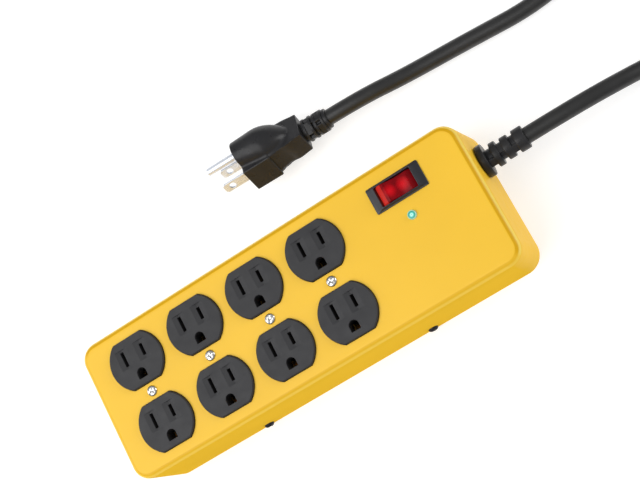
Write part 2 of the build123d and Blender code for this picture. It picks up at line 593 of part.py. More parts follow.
with BuildPart() as indicator_resistor:
    lead_near, lead_far = RESISTOR_X - RESISTOR_SPAN / 2, RESISTOR_X + RESISTOR_SPAN / 2
    lead_top = BOARD_TOP + RESISTOR_RISE
    with BuildSketch(Plane.YZ.offset(RESISTOR_X - RESISTOR_LENGTH / 2)):
        with Locations((RESISTOR_Y, lead_top)):
            Circle(RESISTOR_R)
    extrude(amount=RESISTOR_LENGTH)
    fillet(indicator_resistor.edges().filter_by(GeomType.CIRCLE), 0.4 * RESISTOR_R)
    with BuildLine() as lead:
        FilletPolyline((lead_near, RESISTOR_Y, BOARD_TOP), (lead_near, RESISTOR_Y, lead_top),
                       (lead_far, RESISTOR_Y, lead_top), (lead_far, RESISTOR_Y, BOARD_TOP),
                       radius=0.7)
    with BuildSketch(Plane(origin=lead.line @ 0, z_dir=lead.line % 0)):
        Circle(RESISTOR_LEAD_R)
    sweep(path=lead.line)
save(indicator_resistor, "indicator_resistor")

# ---------------------------------------------------------------- wires inside the housing
HOT_X = DUPLEX_X[-1] + BAR_X
NEUTRAL_X = DUPLEX_X[-1] - BAR_X
GROUND_X = DUPLEX_X[-1]
TAIL_X = 112.0
LANE_Z = 8.5
WIRE_ROUTES = {
    "line_wire": [
        (TAIL_X, CORD_Y + 2.0, CORD_Z + 1.3), (TAIL_X - 5, CORD_Y + 2.0, CORD_Z + 1.3),
        (101, 34, 10), (75.7, 34, 8),
        (75.7, SWITCH_Y, 8), (75.7, SWITCH_Y, TERMINAL_BOTTOM),
    ],
    "load_wire": [
        (SWITCH_X, SWITCH_Y, TERMINAL_BOTTOM), (SWITCH_X, SWITCH_Y, LANE_Z), (60, 20, LANE_Z),
        (HOT_X, HOT_TAB_Y + TAB_SHARE, LANE_Z), (HOT_X, HOT_TAB_Y + TAB_SHARE, TAB_BOTTOM),
    ],
    "neutral_wire": [
        (TAIL_X, CORD_Y - 2.0, CORD_Z + 1.3), (TAIL_X - 5, CORD_Y - 2.0, CORD_Z + 1.3),
        (100, -8, 11), (90, -8, LANE_Z), (40, NEUTRAL_TAB_Y + 1, LANE_Z),
        (NEUTRAL_X, NEUTRAL_TAB_Y + TAB_SHARE, LANE_Z),
        (NEUTRAL_X, NEUTRAL_TAB_Y + TAB_SHARE, TAB_BOTTOM),
    ],
}
GROUND_ROUTES = [
    [(TAIL_X, CORD_Y, CORD_Z - 2.4), (TAIL_X - 5, CORD_Y, CORD_Z - 2.4), (106, 4, 7),
     (STUD_X, STUD_Y + 18, 3.9), (STUD_X, STUD_Y + 12, 3.9)],
    [(STUD_X - 12, STUD_Y, 4.7), (STUD_X - 18, STUD_Y, 4.7), (56, GROUND_TAB_Y - 2, LANE_Z),
     (GROUND_X, GROUND_TAB_Y + TAB_SHARE, LANE_Z), (GROUND_X, GROUND_TAB_Y + TAB_SHARE, TAB_BOTTOM)],
]
for label, points in WIRE_ROUTES.items():
    save(tube(points, WIRE_BEND, WIRE_R), label)

with BuildPart() as ground_wires:
    for points in GROUND_ROUTES:
        add(tube(points, WIRE_BEND - 1.5, WIRE_R).part)
save(ground_wires, "ground_wires")

LEAD_ROUTES = [
    [(HOT_X + BRASS / 2, HOT_TAB_Y + 2, 15), (48, 10, 15), (70, 2, 18), (78, -2, 24),
     (78, -2, BOARD_TOP - BOARD_THICKNESS)],
    [(NEUTRAL_X + BRASS / 2, NEUTRAL_TAB_Y - 1, 15), (25, NEUTRAL_TAB_Y - 1, 15), (50, -6, 15),
     (72, -7, 18), (83, -7, 24), (83, -7, BOARD_TOP - BOARD_THICKNESS)],
]
with BuildPart() as indicator_leads:
    for points in LEAD_ROUTES:
        add(tube(points, LEAD_BEND, LEAD_R).part)
save(indicator_leads, "indicator_leads")

lamp_terminal_x = SWITCH_X + TERMINAL_SPACING
lamp_lead = tube(
    [(lamp_terminal_x, SWITCH_Y, TERMINAL_BOTTOM), (lamp_terminal_x, SWITCH_Y, 10),
     (lamp_terminal_x, 14, 10), (92, 9, 20), (92, 9, BOARD_TOP - BOARD_THICKNESS)],
    LEAD_BEND, LEAD_R)
save(lamp_lead, "switch_lamp_lead")

for label, offset_x, tab_y in (("hot_jumpers", BAR_X, HOT_TAB_Y),
                               ("neutral_jumpers", -BAR_X, NEUTRAL_TAB_Y),
                               ("ground_jumpers", 0, GROUND_TAB_Y)):
    with BuildPart() as jumpers:
        for left, right in zip(DUPLEX_X, DUPLEX_X[1:]):
            start = (left + offset_x, tab_y + TAB_SHARE)
            end = (right + offset_x, tab_y - TAB_SHARE)
            jumper = tube([(*start, TAB_BOTTOM), (*start, LANE_Z), (*end, LANE_Z),
                           (*end, TAB_BOTTOM)], WIRE_BEND - 1, WIRE_R)
            add(jumper.part)
    save(jumpers, label)

with BuildPart() as ring_terminal:
    with BuildSketch():
        Circle(RING_R)
        with Locations((RING_R, 0)):
            Rectangle(TONGUE_LENGTH, TONGUE_WIDTH)
        Circle(STUD_R + THREAD_GAP, mode=Mode.SUBTRACT)
    extrude(amount=BRASS)
    with BuildSketch(Plane.YZ.offset(BARREL_START)):
        with Locations((0, BARREL_RISE)):
            Circle(BARREL_R)
    extrude(amount=BARREL_LENGTH)
with BuildPart() as ground_terminals:
    for level, angle in ((0, 90), (1, 180)):
        with Locations(Location((STUD_X, STUD_Y, PLATE + level * BRASS), (0, 0, angle))):
            add(ring_terminal.part)
save(ground_terminals, "ground_terminals")

with BuildPart() as ground_nut:
    with BuildSketch(Plane.XY.offset(PLATE + 2 * BRASS)):
        with Locations((STUD_X, STUD_Y)):
            RegularPolygon(NUT_R, 6)
            Circle(STUD_R + THREAD_GAP, mode=Mode.SUBTRACT)
    extrude(amount=NUT_HEIGHT)
save(ground_nut, "ground_nut")

# ---------------------------------------------------------------- cord, relief, coil and tie
COLLAR_START, COLLAR_R, SHOULDER_X = 122.0, 8.0, 125.3   # the relief's collar inside the wall
CORD_END = Plane(origin=(0, CORD_Y, CORD_Z), x_dir=(0, 1, 0), z_dir=(1, 0, 0))
# Rings of the relief beyond the wall: start, end, radius; a slimmer neck stands before each
RELIEF_FLANGE = (127.6, 131.5, 9.5)
RELIEF_RINGS = [(135.1, 139.0, 7.0), (141.1, 146.4, 6.0), (148.4, RELIEF_END_X, 5.9)]
RELIEF_NECK_R = 5.1
with BuildPart() as strain_relief:
    with BuildSketch(CORD_END.offset(COLLAR_START)):
        Circle(COLLAR_R)
    extrude(amount=SHOULDER_X - COLLAR_START)
    with BuildSketch(CORD_END.offset(SHOULDER_X)):
        Circle(CORD_HOLE_R - PLATE_GAP)
    extrude(amount=RELIEF_FLANGE[0] - SHOULDER_X)
    with BuildSketch(CORD_END.offset(RELIEF_FLANGE[1])):
        Circle(RELIEF_NECK_R)
    extrude(amount=RELIEF_RINGS[-1][0] - RELIEF_FLANGE[1])
    for start, end, ring_r in (RELIEF_FLANGE, *RELIEF_RINGS):
        with BuildSketch(CORD_END.offset(start)):
            Circle(ring_r)
        extrude(amount=end - start)
    chamfer(strain_relief.edges().filter_by(GeomType.CIRCLE).group_by(SortBy.RADIUS)[-1], 0.6)
save(strain_relief, "strain_relief")

with BuildPart() as cord_tail:
    with BuildSketch(CORD_END.offset(TAIL_X)):
        Circle(CORD_D / 2)
    extrude(amount=COLLAR_START - TAIL_X)
save(cord_tail, "cord_tail")

for label, points in (("cord_strip_side", STRIP_ROUTE), ("cord_plug_side", PLUG_ROUTE)):
    radii = free_bend_radii(points)
    cord = tube(points, radii, CORD_D / 2)
    length = rounded_length(points, radii)
    save(cord, label)
    section = pi * (CORD_D / 2) ** 2
    print(label, "radii", [round(radius, 1) for radius in radii], "length", round(length, 1),
          "volume ratio", round(cord.part.volume / (section * length), 4),
          "lowest", round(cord.part.bounding_box().min.Z, 2))

with BuildPart() as cord_coil:
    with BuildSketch(side_plane(COIL_X, COIL_Y, 0)):
        with Locations(((COIL_INNER_R + COIL_OUTER_R) / 2, (COIL_BOTTOM + COIL_TOP) / 2)):
            RectangleRounded(COIL_OUTER_R - COIL_INNER_R, COIL_TOP - COIL_BOTTOM, COIL_EDGE_R)
    revolve(axis=Axis((COIL_X, COIL_Y, 0), (0, 0, 1)))
save(cord_coil, "cord_coil")

with BuildPart() as cord_tie:
    radial = Vector(cos(radians(TIE_ANGLE)), sin(radians(TIE_ANGLE)), 0)
    middle_r = (COIL_INNER_R + COIL_OUTER_R) / 2
    tie_plane = Plane(origin=(COIL_X + middle_r * radial.X, COIL_Y + middle_r * radial.Y,
                              (COIL_BOTTOM + COIL_TOP) / 2),
                      x_dir=radial, z_dir=radial.cross(Vector(0, 0, 1)))
    inner_width = COIL_OUTER_R - COIL_INNER_R + 2 * TIE_SIDE_GAP
    inner_height = COIL_TOP - COIL_BOTTOM + 2 * TIE_TOP_GAP
    with BuildSketch(tie_plane):
        RectangleRounded(inner_width + 2 * TIE_THICKNESS, inner_height + 2 * TIE_THICKNESS,
                         COIL_EDGE_R + TIE_THICKNESS)
        RectangleRounded(inner_width, inner_height, COIL_EDGE_R, mode=Mode.SUBTRACT)
    extrude(amount=TIE_WIDTH / 2, both=True)
save(cord_tie, "cord_tie")

# ---------------------------------------------------------------- plug
roll, yaw = radians(PLUG_ROLL), radians(PLUG_YAW)
PLUG_AXIS = Vector(cos(yaw), sin(yaw), 0)
PLUG_ACROSS = Vector(-sin(yaw) * cos(roll), cos(yaw) * cos(roll), -sin(roll))
PLUG = Plane(origin=(PLUG_FACE_X, PLUG_FACE_Y, PLUG_Z), x_dir=PLUG_ACROSS, z_dir=PLUG_AXIS)

# Sections of the grip behind the block, distance from the face and width
GRIP_SECTIONS = [(BLOCK_LENGTH, BLOCK_WIDTH), (GRIP_START, 20.6), (GRIP_END, 17.6)]
# Sections of the hump over the ground pin: distance from the face, radius, height of its axis
HUMP_SECTIONS = [(0.0, 8.0, 11.5), (16.5, 9.5, 10.0), (24.0, 7.6, 8.6), (32.0, 1.5, 8.0)]
# Steps of the plug's strain relief: start, end, radius
PLUG_RELIEF = [(GRIP_END, 41.2, 5.6), (41.2, 46.8, 7.1), (46.8, 48.2, 5.6), (48.2, 54.0, 6.8),
               (54.0, PLUG_RELIEF_END, 6.0)]
block_height = BLOCK_HIGH - BLOCK_LOW
block_middle = (BLOCK_HIGH + BLOCK_LOW) / 2
with BuildPart() as plug_body:
    with BuildSketch(PLUG):
        with Locations((0, block_middle)):
            RectangleRounded(BLOCK_WIDTH, block_height, BLOCK_EDGE_R)
    extrude(amount=BLOCK_LENGTH)
    for (near, near_width), (far, far_width) in zip(GRIP_SECTIONS, GRIP_SECTIONS[1:]):
        for place, width in ((near, near_width), (far, far_width)):
            with BuildSketch(PLUG.offset(place)):
                with Locations((0, block_middle)):
                    RectangleRounded(width, block_height - GRIP_SHRINK, BLOCK_EDGE_R)
        loft()
    for (near, near_r, near_axis), (far, far_r, far_axis) in zip(HUMP_SECTIONS, HUMP_SECTIONS[1:]):
        for place, hump_r, axis_height in ((near, near_r, near_axis), (far, far_r, far_axis)):
            with BuildSketch(PLUG.offset(place)):
                with Locations((0, axis_height)):
                    Circle(hump_r)
        loft()
    for start, end, ring_r in PLUG_RELIEF:
        with BuildSketch(PLUG.offset(start)):
            Circle(ring_r)
        extrude(amount=end - start)
    with BuildSketch(PLUG):
        with GridLocations(BLADE_SPACING, 0, 2, 1):
            Rectangle(BLADE_THICKNESS, BLADE_WIDTH)
        with Locations((0, GROUND_OFFSET)):
            Circle(GROUND_PIN_R)
    extrude(amount=BLADE_ROOT, mode=Mode.SUBTRACT)
save(plug_body, "plug_body")

for label, blade_x in (("plug_hot_blade", BLADE_SPACING / 2),
                       ("plug_neutral_blade", -BLADE_SPACING / 2)):
    blade_origin = PLUG.origin + PLUG_ACROSS * blade_x
    with BuildPart() as blade:
        with BuildSketch(Plane(origin=blade_origin, x_dir=PLUG_AXIS, z_dir=PLUG_ACROSS)) as outline:
            with Locations(((BLADE_ROOT - BLADE_LENGTH) / 2, 0)):
                Rectangle(BLADE_ROOT + BLADE_LENGTH, BLADE_WIDTH)
            chamfer(outline.vertices().group_by(Axis.X)[0], BLADE_CHAMFER)
            with Locations((-BLADE_HOLE_FROM_FACE, 0)):
                Circle(BLADE_HOLE_R, mode=Mode.SUBTRACT)
        extrude(amount=BLADE_THICKNESS / 2, both=True)
    save(blade, label)

with BuildPart() as plug_ground_pin:
    with BuildSketch(PLUG.offset(-GROUND_PIN_LENGTH)):
        with Locations((0, GROUND_OFFSET)):
            Circle(GROUND_PIN_R)
    extrude(amount=GROUND_PIN_LENGTH + BLADE_ROOT)
    fillet(plug_ground_pin.edges().group_by(Axis.X)[0], PIN_END_R)
save(plug_ground_pin, "plug_ground_pin")
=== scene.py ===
import json
from math import cos, hypot, pi, radians, sin, sqrt

import bmesh
import bpy
from mathutils import Matrix, Quaternion, Vector


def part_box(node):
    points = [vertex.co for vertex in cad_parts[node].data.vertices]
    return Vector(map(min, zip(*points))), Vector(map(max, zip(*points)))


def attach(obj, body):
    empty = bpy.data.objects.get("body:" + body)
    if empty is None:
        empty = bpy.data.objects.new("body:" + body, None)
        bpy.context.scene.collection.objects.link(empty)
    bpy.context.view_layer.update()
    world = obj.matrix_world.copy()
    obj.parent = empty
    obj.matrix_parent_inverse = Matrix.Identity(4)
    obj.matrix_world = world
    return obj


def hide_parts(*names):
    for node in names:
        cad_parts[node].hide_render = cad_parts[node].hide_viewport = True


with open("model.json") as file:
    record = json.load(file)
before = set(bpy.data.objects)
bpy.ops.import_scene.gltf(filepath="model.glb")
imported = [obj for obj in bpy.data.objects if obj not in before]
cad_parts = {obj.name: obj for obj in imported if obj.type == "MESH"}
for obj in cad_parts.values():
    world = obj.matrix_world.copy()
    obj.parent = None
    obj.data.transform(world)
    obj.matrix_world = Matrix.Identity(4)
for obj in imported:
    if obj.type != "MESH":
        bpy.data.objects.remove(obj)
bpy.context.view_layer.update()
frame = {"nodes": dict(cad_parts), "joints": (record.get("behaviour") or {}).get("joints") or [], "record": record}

nodes = frame["nodes"]
scene = bpy.context.scene
MM = 0.001

# ---------------------------------------------------------------- camera
CAMERA_AT = Vector((0.21358, -0.14467, 0.70172))
CAMERA_TARGET = Vector((0.02097, 0.03468, 0.0))
CAMERA_ROLL = radians(-77.06)
CAMERA_LENS = 72.75


def add_camera():
    """The view from above the cord's end, rolled so that the strip runs up to the right."""
    data = bpy.data.cameras.new("camera")
    data.lens = CAMERA_LENS
    data.sensor_width = 36.0
    data.clip_start, data.clip_end = 0.02, 20.0
    camera = bpy.data.objects.new("camera", data)
    camera.location = CAMERA_AT
    look = (CAMERA_TARGET - CAMERA_AT).to_track_quat("-Z", "Y")
    camera.rotation_mode = "QUATERNION"
    camera.rotation_quaternion = look @ Quaternion((0, 0, 1), CAMERA_ROLL)
    scene.collection.objects.link(camera)
    scene.camera = camera


add_camera()

# ---------------------------------------------------------------- material helpers
def srgb(red, green, blue):
    """A colour given as on a screen, 0 to 255, as the renderer's linear values."""
    return tuple(((value / 255 + 0.055) / 1.055) ** 2.4 for value in (red, green, blue))


def scaled(colour, factor):
    return tuple(min(1.0, value * factor) for value in colour)


def new_material(name):
    material = bpy.data.materials.new(name)
    material.use_nodes = True
    return material, material.node_tree, material.node_tree.nodes["Principled BSDF"]


def object_place(tree, offset=(0, 0, 0), stretch=(1, 1, 1), turn=(0, 0, 0)):
    """The surface point in the CAD's frame, moved, turned and stretched."""
    coordinates = tree.nodes.new("ShaderNodeTexCoord")
    mapping = tree.nodes.new("ShaderNodeMapping")
    mapping.inputs["Location"].default_value = offset
    mapping.inputs["Rotation"].default_value = turn
    mapping.inputs["Scale"].default_value = stretch
    tree.links.new(coordinates.outputs["Object"], mapping.inputs["Vector"])
    return mapping.outputs["Vector"]


def noise(tree, scale, detail=3.0, stretch=(1, 1, 1)):
    """Cloudy noise, with about `scale` lumps to the metre."""
    texture = tree.nodes.new("ShaderNodeTexNoise")
    texture.inputs["Scale"].default_value = scale
    texture.inputs["Detail"].default_value = detail
    tree.links.new(object_place(tree, stretch=stretch), texture.inputs["Vector"])
    return texture.outputs["Fac"]


def spread(tree, factor, low, high, start=0.3, end=0.7):
    """The factor's stretch from start to end, mapped to low to high."""
    node = tree.nodes.new("ShaderNodeMapRange")
    for socket, value in (("From Min", start), ("From Max", end), ("To Min", low), ("To Max", high)):
        node.inputs[socket].default_value = value
    tree.links.new(factor, node.inputs["Value"])
    return node.outputs["Result"]


def ramp(tree, factor, *stops):
    """Colours along a factor, each stop a place and a colour."""
    node = tree.nodes.new("ShaderNodeValToRGB")
    elements = node.color_ramp.elements
    for element, (place, colour) in zip((elements[0], elements[1]), (stops[0], stops[-1])):
        element.position, element.color = place, (*colour, 1)
    for place, colour in stops[1:-1]:
        elements.new(place).color = (*colour, 1)
    tree.links.new(factor, node.inputs["Fac"])
    return node.outputs["Color"]


def arithmetic(tree, operation, first, second):
    """One Math node on two sockets or numbers."""
    node = tree.nodes.new("ShaderNodeMath")
    node.operation = operation
    for socket, value in zip(node.inputs, (first, second)):
        if isinstance(value, (int, float)):
            socket.default_value = value
        else:
            tree.links.new(value, socket)
    return node.outputs["Value"]


def mixed(tree, factor, first, second):
    """One colour over another; either may be a socket or a fixed colour."""
    node = tree.nodes.new("ShaderNodeMix")
    node.data_type = "RGBA"
    tree.links.new(factor, node.inputs["Factor"])
    for socket, value in (("A", first), ("B", second)):
        if isinstance(value, tuple):
            node.inputs[socket].default_value = (*value, 1)
        else:
            tree.links.new(value, node.inputs[socket])
    return node.outputs["Result"]


def facing(tree):
    """How much the surface faces the far side, and how much it faces upwards: 1 on a level top."""
    coordinates = tree.nodes.new("ShaderNodeTexCoord")
    split = tree.nodes.new("ShaderNodeSeparateXYZ")
    tree.links.new(coordinates.outputs["Normal"], split.inputs["Vector"])
    outward = arithmetic(tree, "ADD", split.outputs["X"], split.outputs["Y"])
    return outward, split.outputs["Z"]


def bump(tree, shader, height, distance, below=None):
    """Raise the surface by a height map; `below` is the normal of an earlier bump."""
    node = tree.nodes.new("ShaderNodeBump")
    node.inputs["Distance"].default_value = distance
    tree.links.new(height, node.inputs["Height"])
    if below:
        tree.links.new(below, node.inputs["Normal"])
    tree.links.new(node.outputs["Normal"], shader.inputs["Normal"])
    return node.outputs["Normal"]


def moulded(name, colour, roughness, mottle=0.10, lump=45.0, grain=2600.0, grain_depth=2e-5,
            specular=0.5, coat=0.0):
    """Moulded plastic: cloudy colour, uneven gloss and a fine grain."""
    uneven = 0.08
    material, tree, shader = new_material(name)
    clouds = noise(tree, lump, 4.0)
    tint = ramp(tree, clouds, (0.3, scaled(colour, 1 - mottle)), (0.7, scaled(colour, 1 + mottle)))
    tree.links.new(tint, shader.inputs["Base Color"])
    patches = noise(tree, 3.2 * lump, 5.0)
    tree.links.new(spread(tree, patches, roughness - uneven, roughness + uneven),
                   shader.inputs["Roughness"])
    shader.inputs["Specular IOR Level"].default_value = specular
    shader.inputs["Coat Weight"].default_value = coat
    shader.inputs["Coat Roughness"].default_value = 0.12
    bump(tree, shader, noise(tree, grain, 2.0), grain_depth)
    return material


def metal(name, colour, roughness, brushed=(1, 1, 1), tarnish=0.25, lump=220.0, depth=6e-6,
          metallic=1.0):
    """Plated or bare metal: tarnish in patches and fine drawn scratches."""
    material, tree, shader = new_material(name)
    shader.inputs["Metallic"].default_value = metallic
    patches = noise(tree, lump, 6.0)
    tint = ramp(tree, patches, (0.32, scaled(colour, 1 - tarnish)), (0.6, colour))
    tree.links.new(tint, shader.inputs["Base Color"])
    scratches = noise(tree, 5200.0, 3.0, stretch=brushed)
    wear = arithmetic(tree, "ADD", spread(tree, scratches, -0.06, 0.08),
                      spread(tree, patches, roughness + 0.1, roughness))
    tree.links.new(wear, shader.inputs["Roughness"])
    bump(tree, shader, scratches, depth)
    return material


# ---------------------------------------------------------------- materials
YELLOW = srgb(250, 200, 56)
DUST = srgb(205, 176, 96)
# Painted light on the fold round the top: a painted highlight band on its outer side and a painted shade line at
# its inner one
PAINTED_EDGE_HIGHLIGHT, PAINTED_EDGE_SHADE = srgb(255, 222, 104), srgb(222, 168, 12)
WHITE, BLACK = (1, 1, 1), (0, 0, 0)


def yellow_paint():
    """Enamel baked on steel: orange peel, faint scuffs, specks of dust, and a painted highlight band and painted
    shade line round the fold, strongest on the far and right sides.
    """
    material, tree, shader = new_material("yellow_paint")
    clouds = noise(tree, 14.0, 3.0)
    coat_colour = ramp(tree, clouds, (0.25, scaled(YELLOW, 0.96)), (0.75, scaled(YELLOW, 1.03)))
    specks = noise(tree, 900.0, 6.0)
    dusting = spread(tree, specks, 0.0, 0.10, 0.62, 0.78)
    outward, rising = facing(tree)
    # painted highlight and painted shade: a lighter band and a darker ochre line on the fold, set by how steeply
    # the surface rises
    painted_fold_light = ramp(tree, rising, (0.15, YELLOW), (0.4, PAINTED_EDGE_HIGHLIGHT), (0.66, PAINTED_EDGE_HIGHLIGHT),
                  (0.82, PAINTED_EDGE_SHADE), (0.965, PAINTED_EDGE_SHADE), (0.997, YELLOW))
    painted_fold_mask = ramp(tree, rising, (0.1, BLACK), (0.4, WHITE), (0.98, WHITE), (0.999, BLACK))
    # the painted fold light is full on the far and right sides and weaker on the near and left ones
    painted_fold_weight = arithmetic(tree, "MULTIPLY", painted_fold_mask, spread(tree, outward, 0.4, 1.0, -0.1, 0.12))
    body = mixed(tree, painted_fold_weight, coat_colour, painted_fold_light)
    dusty = mixed(tree, dusting, body, DUST)
    tree.links.new(dusty, shader.inputs["Base Color"])
    scuffs = noise(tree, 260.0, 5.0, stretch=(0.12, 1, 1))
    tree.links.new(spread(tree, scuffs, 0.30, 0.38, 0.45, 0.7), shader.inputs["Roughness"])
    gloss = arithmetic(tree, "ADD", spread(tree, rising, 0.0, 0.22, 0.3, 0.95),
                       spread(tree, outward, 0.0, 0.015, -0.9, 0.2))
    tree.links.new(gloss, shader.inputs["Specular IOR Level"])
    peel = bump(tree, shader, noise(tree, 620.0, 1.5), 2.2e-5)
    bump(tree, shader, scuffs, 3e-6, below=peel)
    return material


ROCKER_RED = srgb(128, 2, 12)
GLOW_PLACES = (-4.3 * MM, 4.0 * MM)   # along the rocker from its pivot
GLOW_REACH = 4.4 * MM
LIP_HIGHLIGHT_START = -7.3 * MM                 # where the painted highlight on the raised end's lip starts, from the pivot


def glow_spot(tree, centre, reach):
    """A soft ball of light: 1 at its middle, 0 at its reach."""
    texture = tree.nodes.new("ShaderNodeTexGradient")
    texture.gradient_type = "SPHERICAL"
    offset = tuple(-value / reach for value in centre)
    tree.links.new(object_place(tree, offset, (1 / reach,) * 3), texture.inputs["Vector"])
    return texture.outputs["Fac"]


def rocker_red(pivot):
    """Clear red plastic lit from below, brightest over the lamp on each side of the middle, with a painted
    highlight on the raised end's lip.
    """
    material, tree, shader = new_material("rocker_red")
    clouds = noise(tree, 420.0, 3.0)
    tint = ramp(tree, clouds, (0.3, scaled(ROCKER_RED, 0.85)), (0.7, scaled(ROCKER_RED, 1.1)))
    tree.links.new(tint, shader.inputs["Base Color"])
    spots = [glow_spot(tree, pivot + Vector((place, 0, 4.0 * MM)), GLOW_REACH) for place in GLOW_PLACES]
    light = arithmetic(tree, "ADD", *spots)
    glow = ramp(tree, light, (0.0, srgb(50, 0, 6)), (0.4, srgb(176, 3, 18)), (0.85, srgb(236, 22, 34)))
    # painted highlight: past this place the raised end's lip glows a lighter orange-red
    split = tree.nodes.new("ShaderNodeSeparateXYZ")
    tree.links.new(object_place(tree), split.inputs["Vector"])
    lip = spread(tree, split.outputs["X"], 1.0, 0.0, pivot.x + LIP_HIGHLIGHT_START, pivot.x + LIP_HIGHLIGHT_START + 0.3 * MM)
    glow = mixed(tree, lip, glow, srgb(214, 54, 40))
    tree.links.new(glow, shader.inputs["Emission Color"])
    shader.inputs["Emission Strength"].default_value = 0.55
    shader.inputs["Specular IOR Level"].default_value = 0.1
    tree.links.new(spread(tree, noise(tree, 1500.0, 4.0), 0.22, 0.34), shader.inputs["Roughness"])
    bump(tree, shader, noise(tree, 3000.0, 2.0), 6e-6)
    return material


def lens_teal(centre, radius):
    """Frosted lens lit from below: pale rim, deeper ring and a bright middle."""
    material, tree, shader = new_material("lens_teal")
    middle = glow_spot(tree, centre, radius)
    cloudy = arithmetic(tree, "ADD", middle, spread(tree, noise(tree, 1400.0, 3.0), -0.03, 0.03))
    tint = ramp(tree, cloudy, (0.0, srgb(196, 226, 205)), (0.22, srgb(150, 205, 180)),
                (0.40, srgb(30, 150, 140)), (0.60, srgb(96, 205, 190)), (0.78, srgb(190, 240, 228)),
                (0.90, srgb(170, 236, 222)), (0.97, srgb(60, 180, 165)))
    tree.links.new(tint, shader.inputs["Base Color"])
    tree.links.new(tint, shader.inputs["Emission Color"])
    shader.inputs["Emission Strength"].default_value = 0.22
    tree.links.new(spread(tree, noise(tree, 2200.0, 4.0), 0.18, 0.34), shader.inputs["Roughness"])
    bump(tree, shader, noise(tree, 2600.0, 2.0), 8e-6)
    return material


def cord_black():
    """Soft vinyl sheath: a satin skin with faint drawn lines and rub marks."""
    material, tree, shader = new_material("cord_black")
    colour = srgb(36, 36, 36)
    clouds = noise(tree, 90.0, 4.0)
    tint = ramp(tree, clouds, (0.3, scaled(colour, 0.85)), (0.7, scaled(colour, 1.2)))
    tree.links.new(tint, shader.inputs["Base Color"])
    rubs = noise(tree, 340.0, 6.0, stretch=(0.25, 1, 1))
    tree.links.new(spread(tree, rubs, 0.34, 0.46), shader.inputs["Roughness"])
    skin = bump(tree, shader, noise(tree, 1300.0, 3.0, stretch=(0.1, 1, 1)), 1.5e-5)
    bump(tree, shader, noise(tree, 5200.0, 2.0), 5e-6, below=skin)
    return material


def tie_black():
    """Woven nylon tape: crossing threads and a worn, fuzzy sheen."""
    material, tree, shader = new_material("tie_black")
    waves = []
    for direction in ("X", "Z"):
        wave = tree.nodes.new("ShaderNodeTexWave")
        wave.bands_direction = direction
        wave.inputs["Scale"].default_value = 420.0
        wave.inputs["Distortion"].default_value = 0.6
        tree.links.new(object_place(tree, turn=(0, 0, radians(-20))), wave.inputs["Vector"])
        waves.append(wave.outputs["Fac"])
    weave = arithmetic(tree, "MULTIPLY", *waves)
    colour = srgb(34, 34, 36)
    tint = ramp(tree, weave, (0.0, scaled(colour, 0.6)), (0.8, scaled(colour, 1.5)))
    tree.links.new(tint, shader.inputs["Base Color"])
    tree.links.new(spread(tree, noise(tree, 600.0, 4.0), 0.65, 0.85), shader.inputs["Roughness"])
    shader.inputs["Sheen Weight"].default_value = 0.3
    bump(tree, shader, weave, 1.2e-4)
    return material


def lamp_glass():
    """A small neon tube: clear glass with an orange glow."""
    material, tree, shader = new_material("lamp_glass")
    tint = ramp(tree, noise(tree, 500.0, 3.0), (0.3, srgb(255, 150, 70)), (0.7, srgb(255, 196, 130)))
    tree.links.new(tint, shader.inputs["Base Color"])
    tree.links.new(tint, shader.inputs["Emission Color"])
    shader.inputs["Emission Strength"].default_value = 1.0
    shader.inputs["Transmission Weight"].default_value = 0.5
    tree.links.new(spread(tree, noise(tree, 1500.0, 3.0), 0.05, 0.14), shader.inputs["Roughness"])
    return material


hinge = {joint["name"]: joint for joint in frame["joints"]}["rocker_hinge"]
ROCKER_PIVOT = Vector(hinge["pos_m"])
lens_low, lens_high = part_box("indicator_lens")
LENS_CENTRE = (lens_low + lens_high) / 2
LENS_TOP = lens_high.z
LENS_R = 2.5 * MM

MATERIALS = {
    "yellow_paint": yellow_paint(),
    "black_steel": metal("black_steel", srgb(60, 60, 62), 0.42, tarnish=0.4),
    "screw_chrome": metal("screw_chrome", srgb(222, 222, 220), 0.14, tarnish=0.25),
    "outlet_plastic": moulded("outlet_plastic", srgb(54, 54, 56), 0.55, mottle=0.07, grain=1900.0,
                              grain_depth=4.5e-5, specular=0.3),
    "contact_brass": metal("contact_brass", srgb(214, 174, 96), 0.28, brushed=(1, 1, 0.1)),
    "switch_plastic": moulded("switch_plastic", srgb(34, 34, 41), 0.34, mottle=0.08, grain_depth=1e-5),
    "rocker_red": rocker_red(ROCKER_PIVOT),
    "inner_plastic": moulded("inner_plastic", srgb(38, 38, 40), 0.6, grain_depth=4e-5),
    "spring_steel": metal("spring_steel", srgb(190, 190, 188), 0.3),
    "lamp_glass": lamp_glass(),
    "lens_teal": lens_teal(Vector((LENS_CENTRE.x, LENS_CENTRE.y, LENS_TOP)), LENS_R * 1.12),
    "board_green": moulded("board_green", srgb(24, 92, 52), 0.35, mottle=0.18, lump=160.0, coat=0.3),
    "wire_black": moulded("wire_black", srgb(28, 28, 28), 0.4),
    "wire_white": moulded("wire_white", srgb(226, 224, 216), 0.42, mottle=0.05),
    "wire_green": moulded("wire_green", srgb(30, 120, 52), 0.42),
    "cord_black": cord_black(),
    "plug_black": moulded("plug_black", srgb(42, 42, 44), 0.33, mottle=0.12, lump=70.0, grain=1500.0,
                          grain_depth=1.2e-5, specular=0.26),
    "blade_nickel": metal("blade_nickel", srgb(238, 243, 252), 0.24, brushed=(0.06, 1, 1), tarnish=0.04,
                          metallic=0.4),
    "tie_black": tie_black(),
}


def paint_nodes():
    """Give each carried-over CAD node the material of its slot in the record."""
    for subpart in frame["record"]["subparts"]:
        mesh = nodes[subpart["node"]].data
        mesh.materials.clear()
        mesh.materials.append(MATERIALS[subpart["material_slot"]])


paint_nodes()

# ---------------------------------------------------------------- cord
CORD_DIAMETER = 0.0094
CORD_Y, CORD_Z = 0.0174, 0.0235
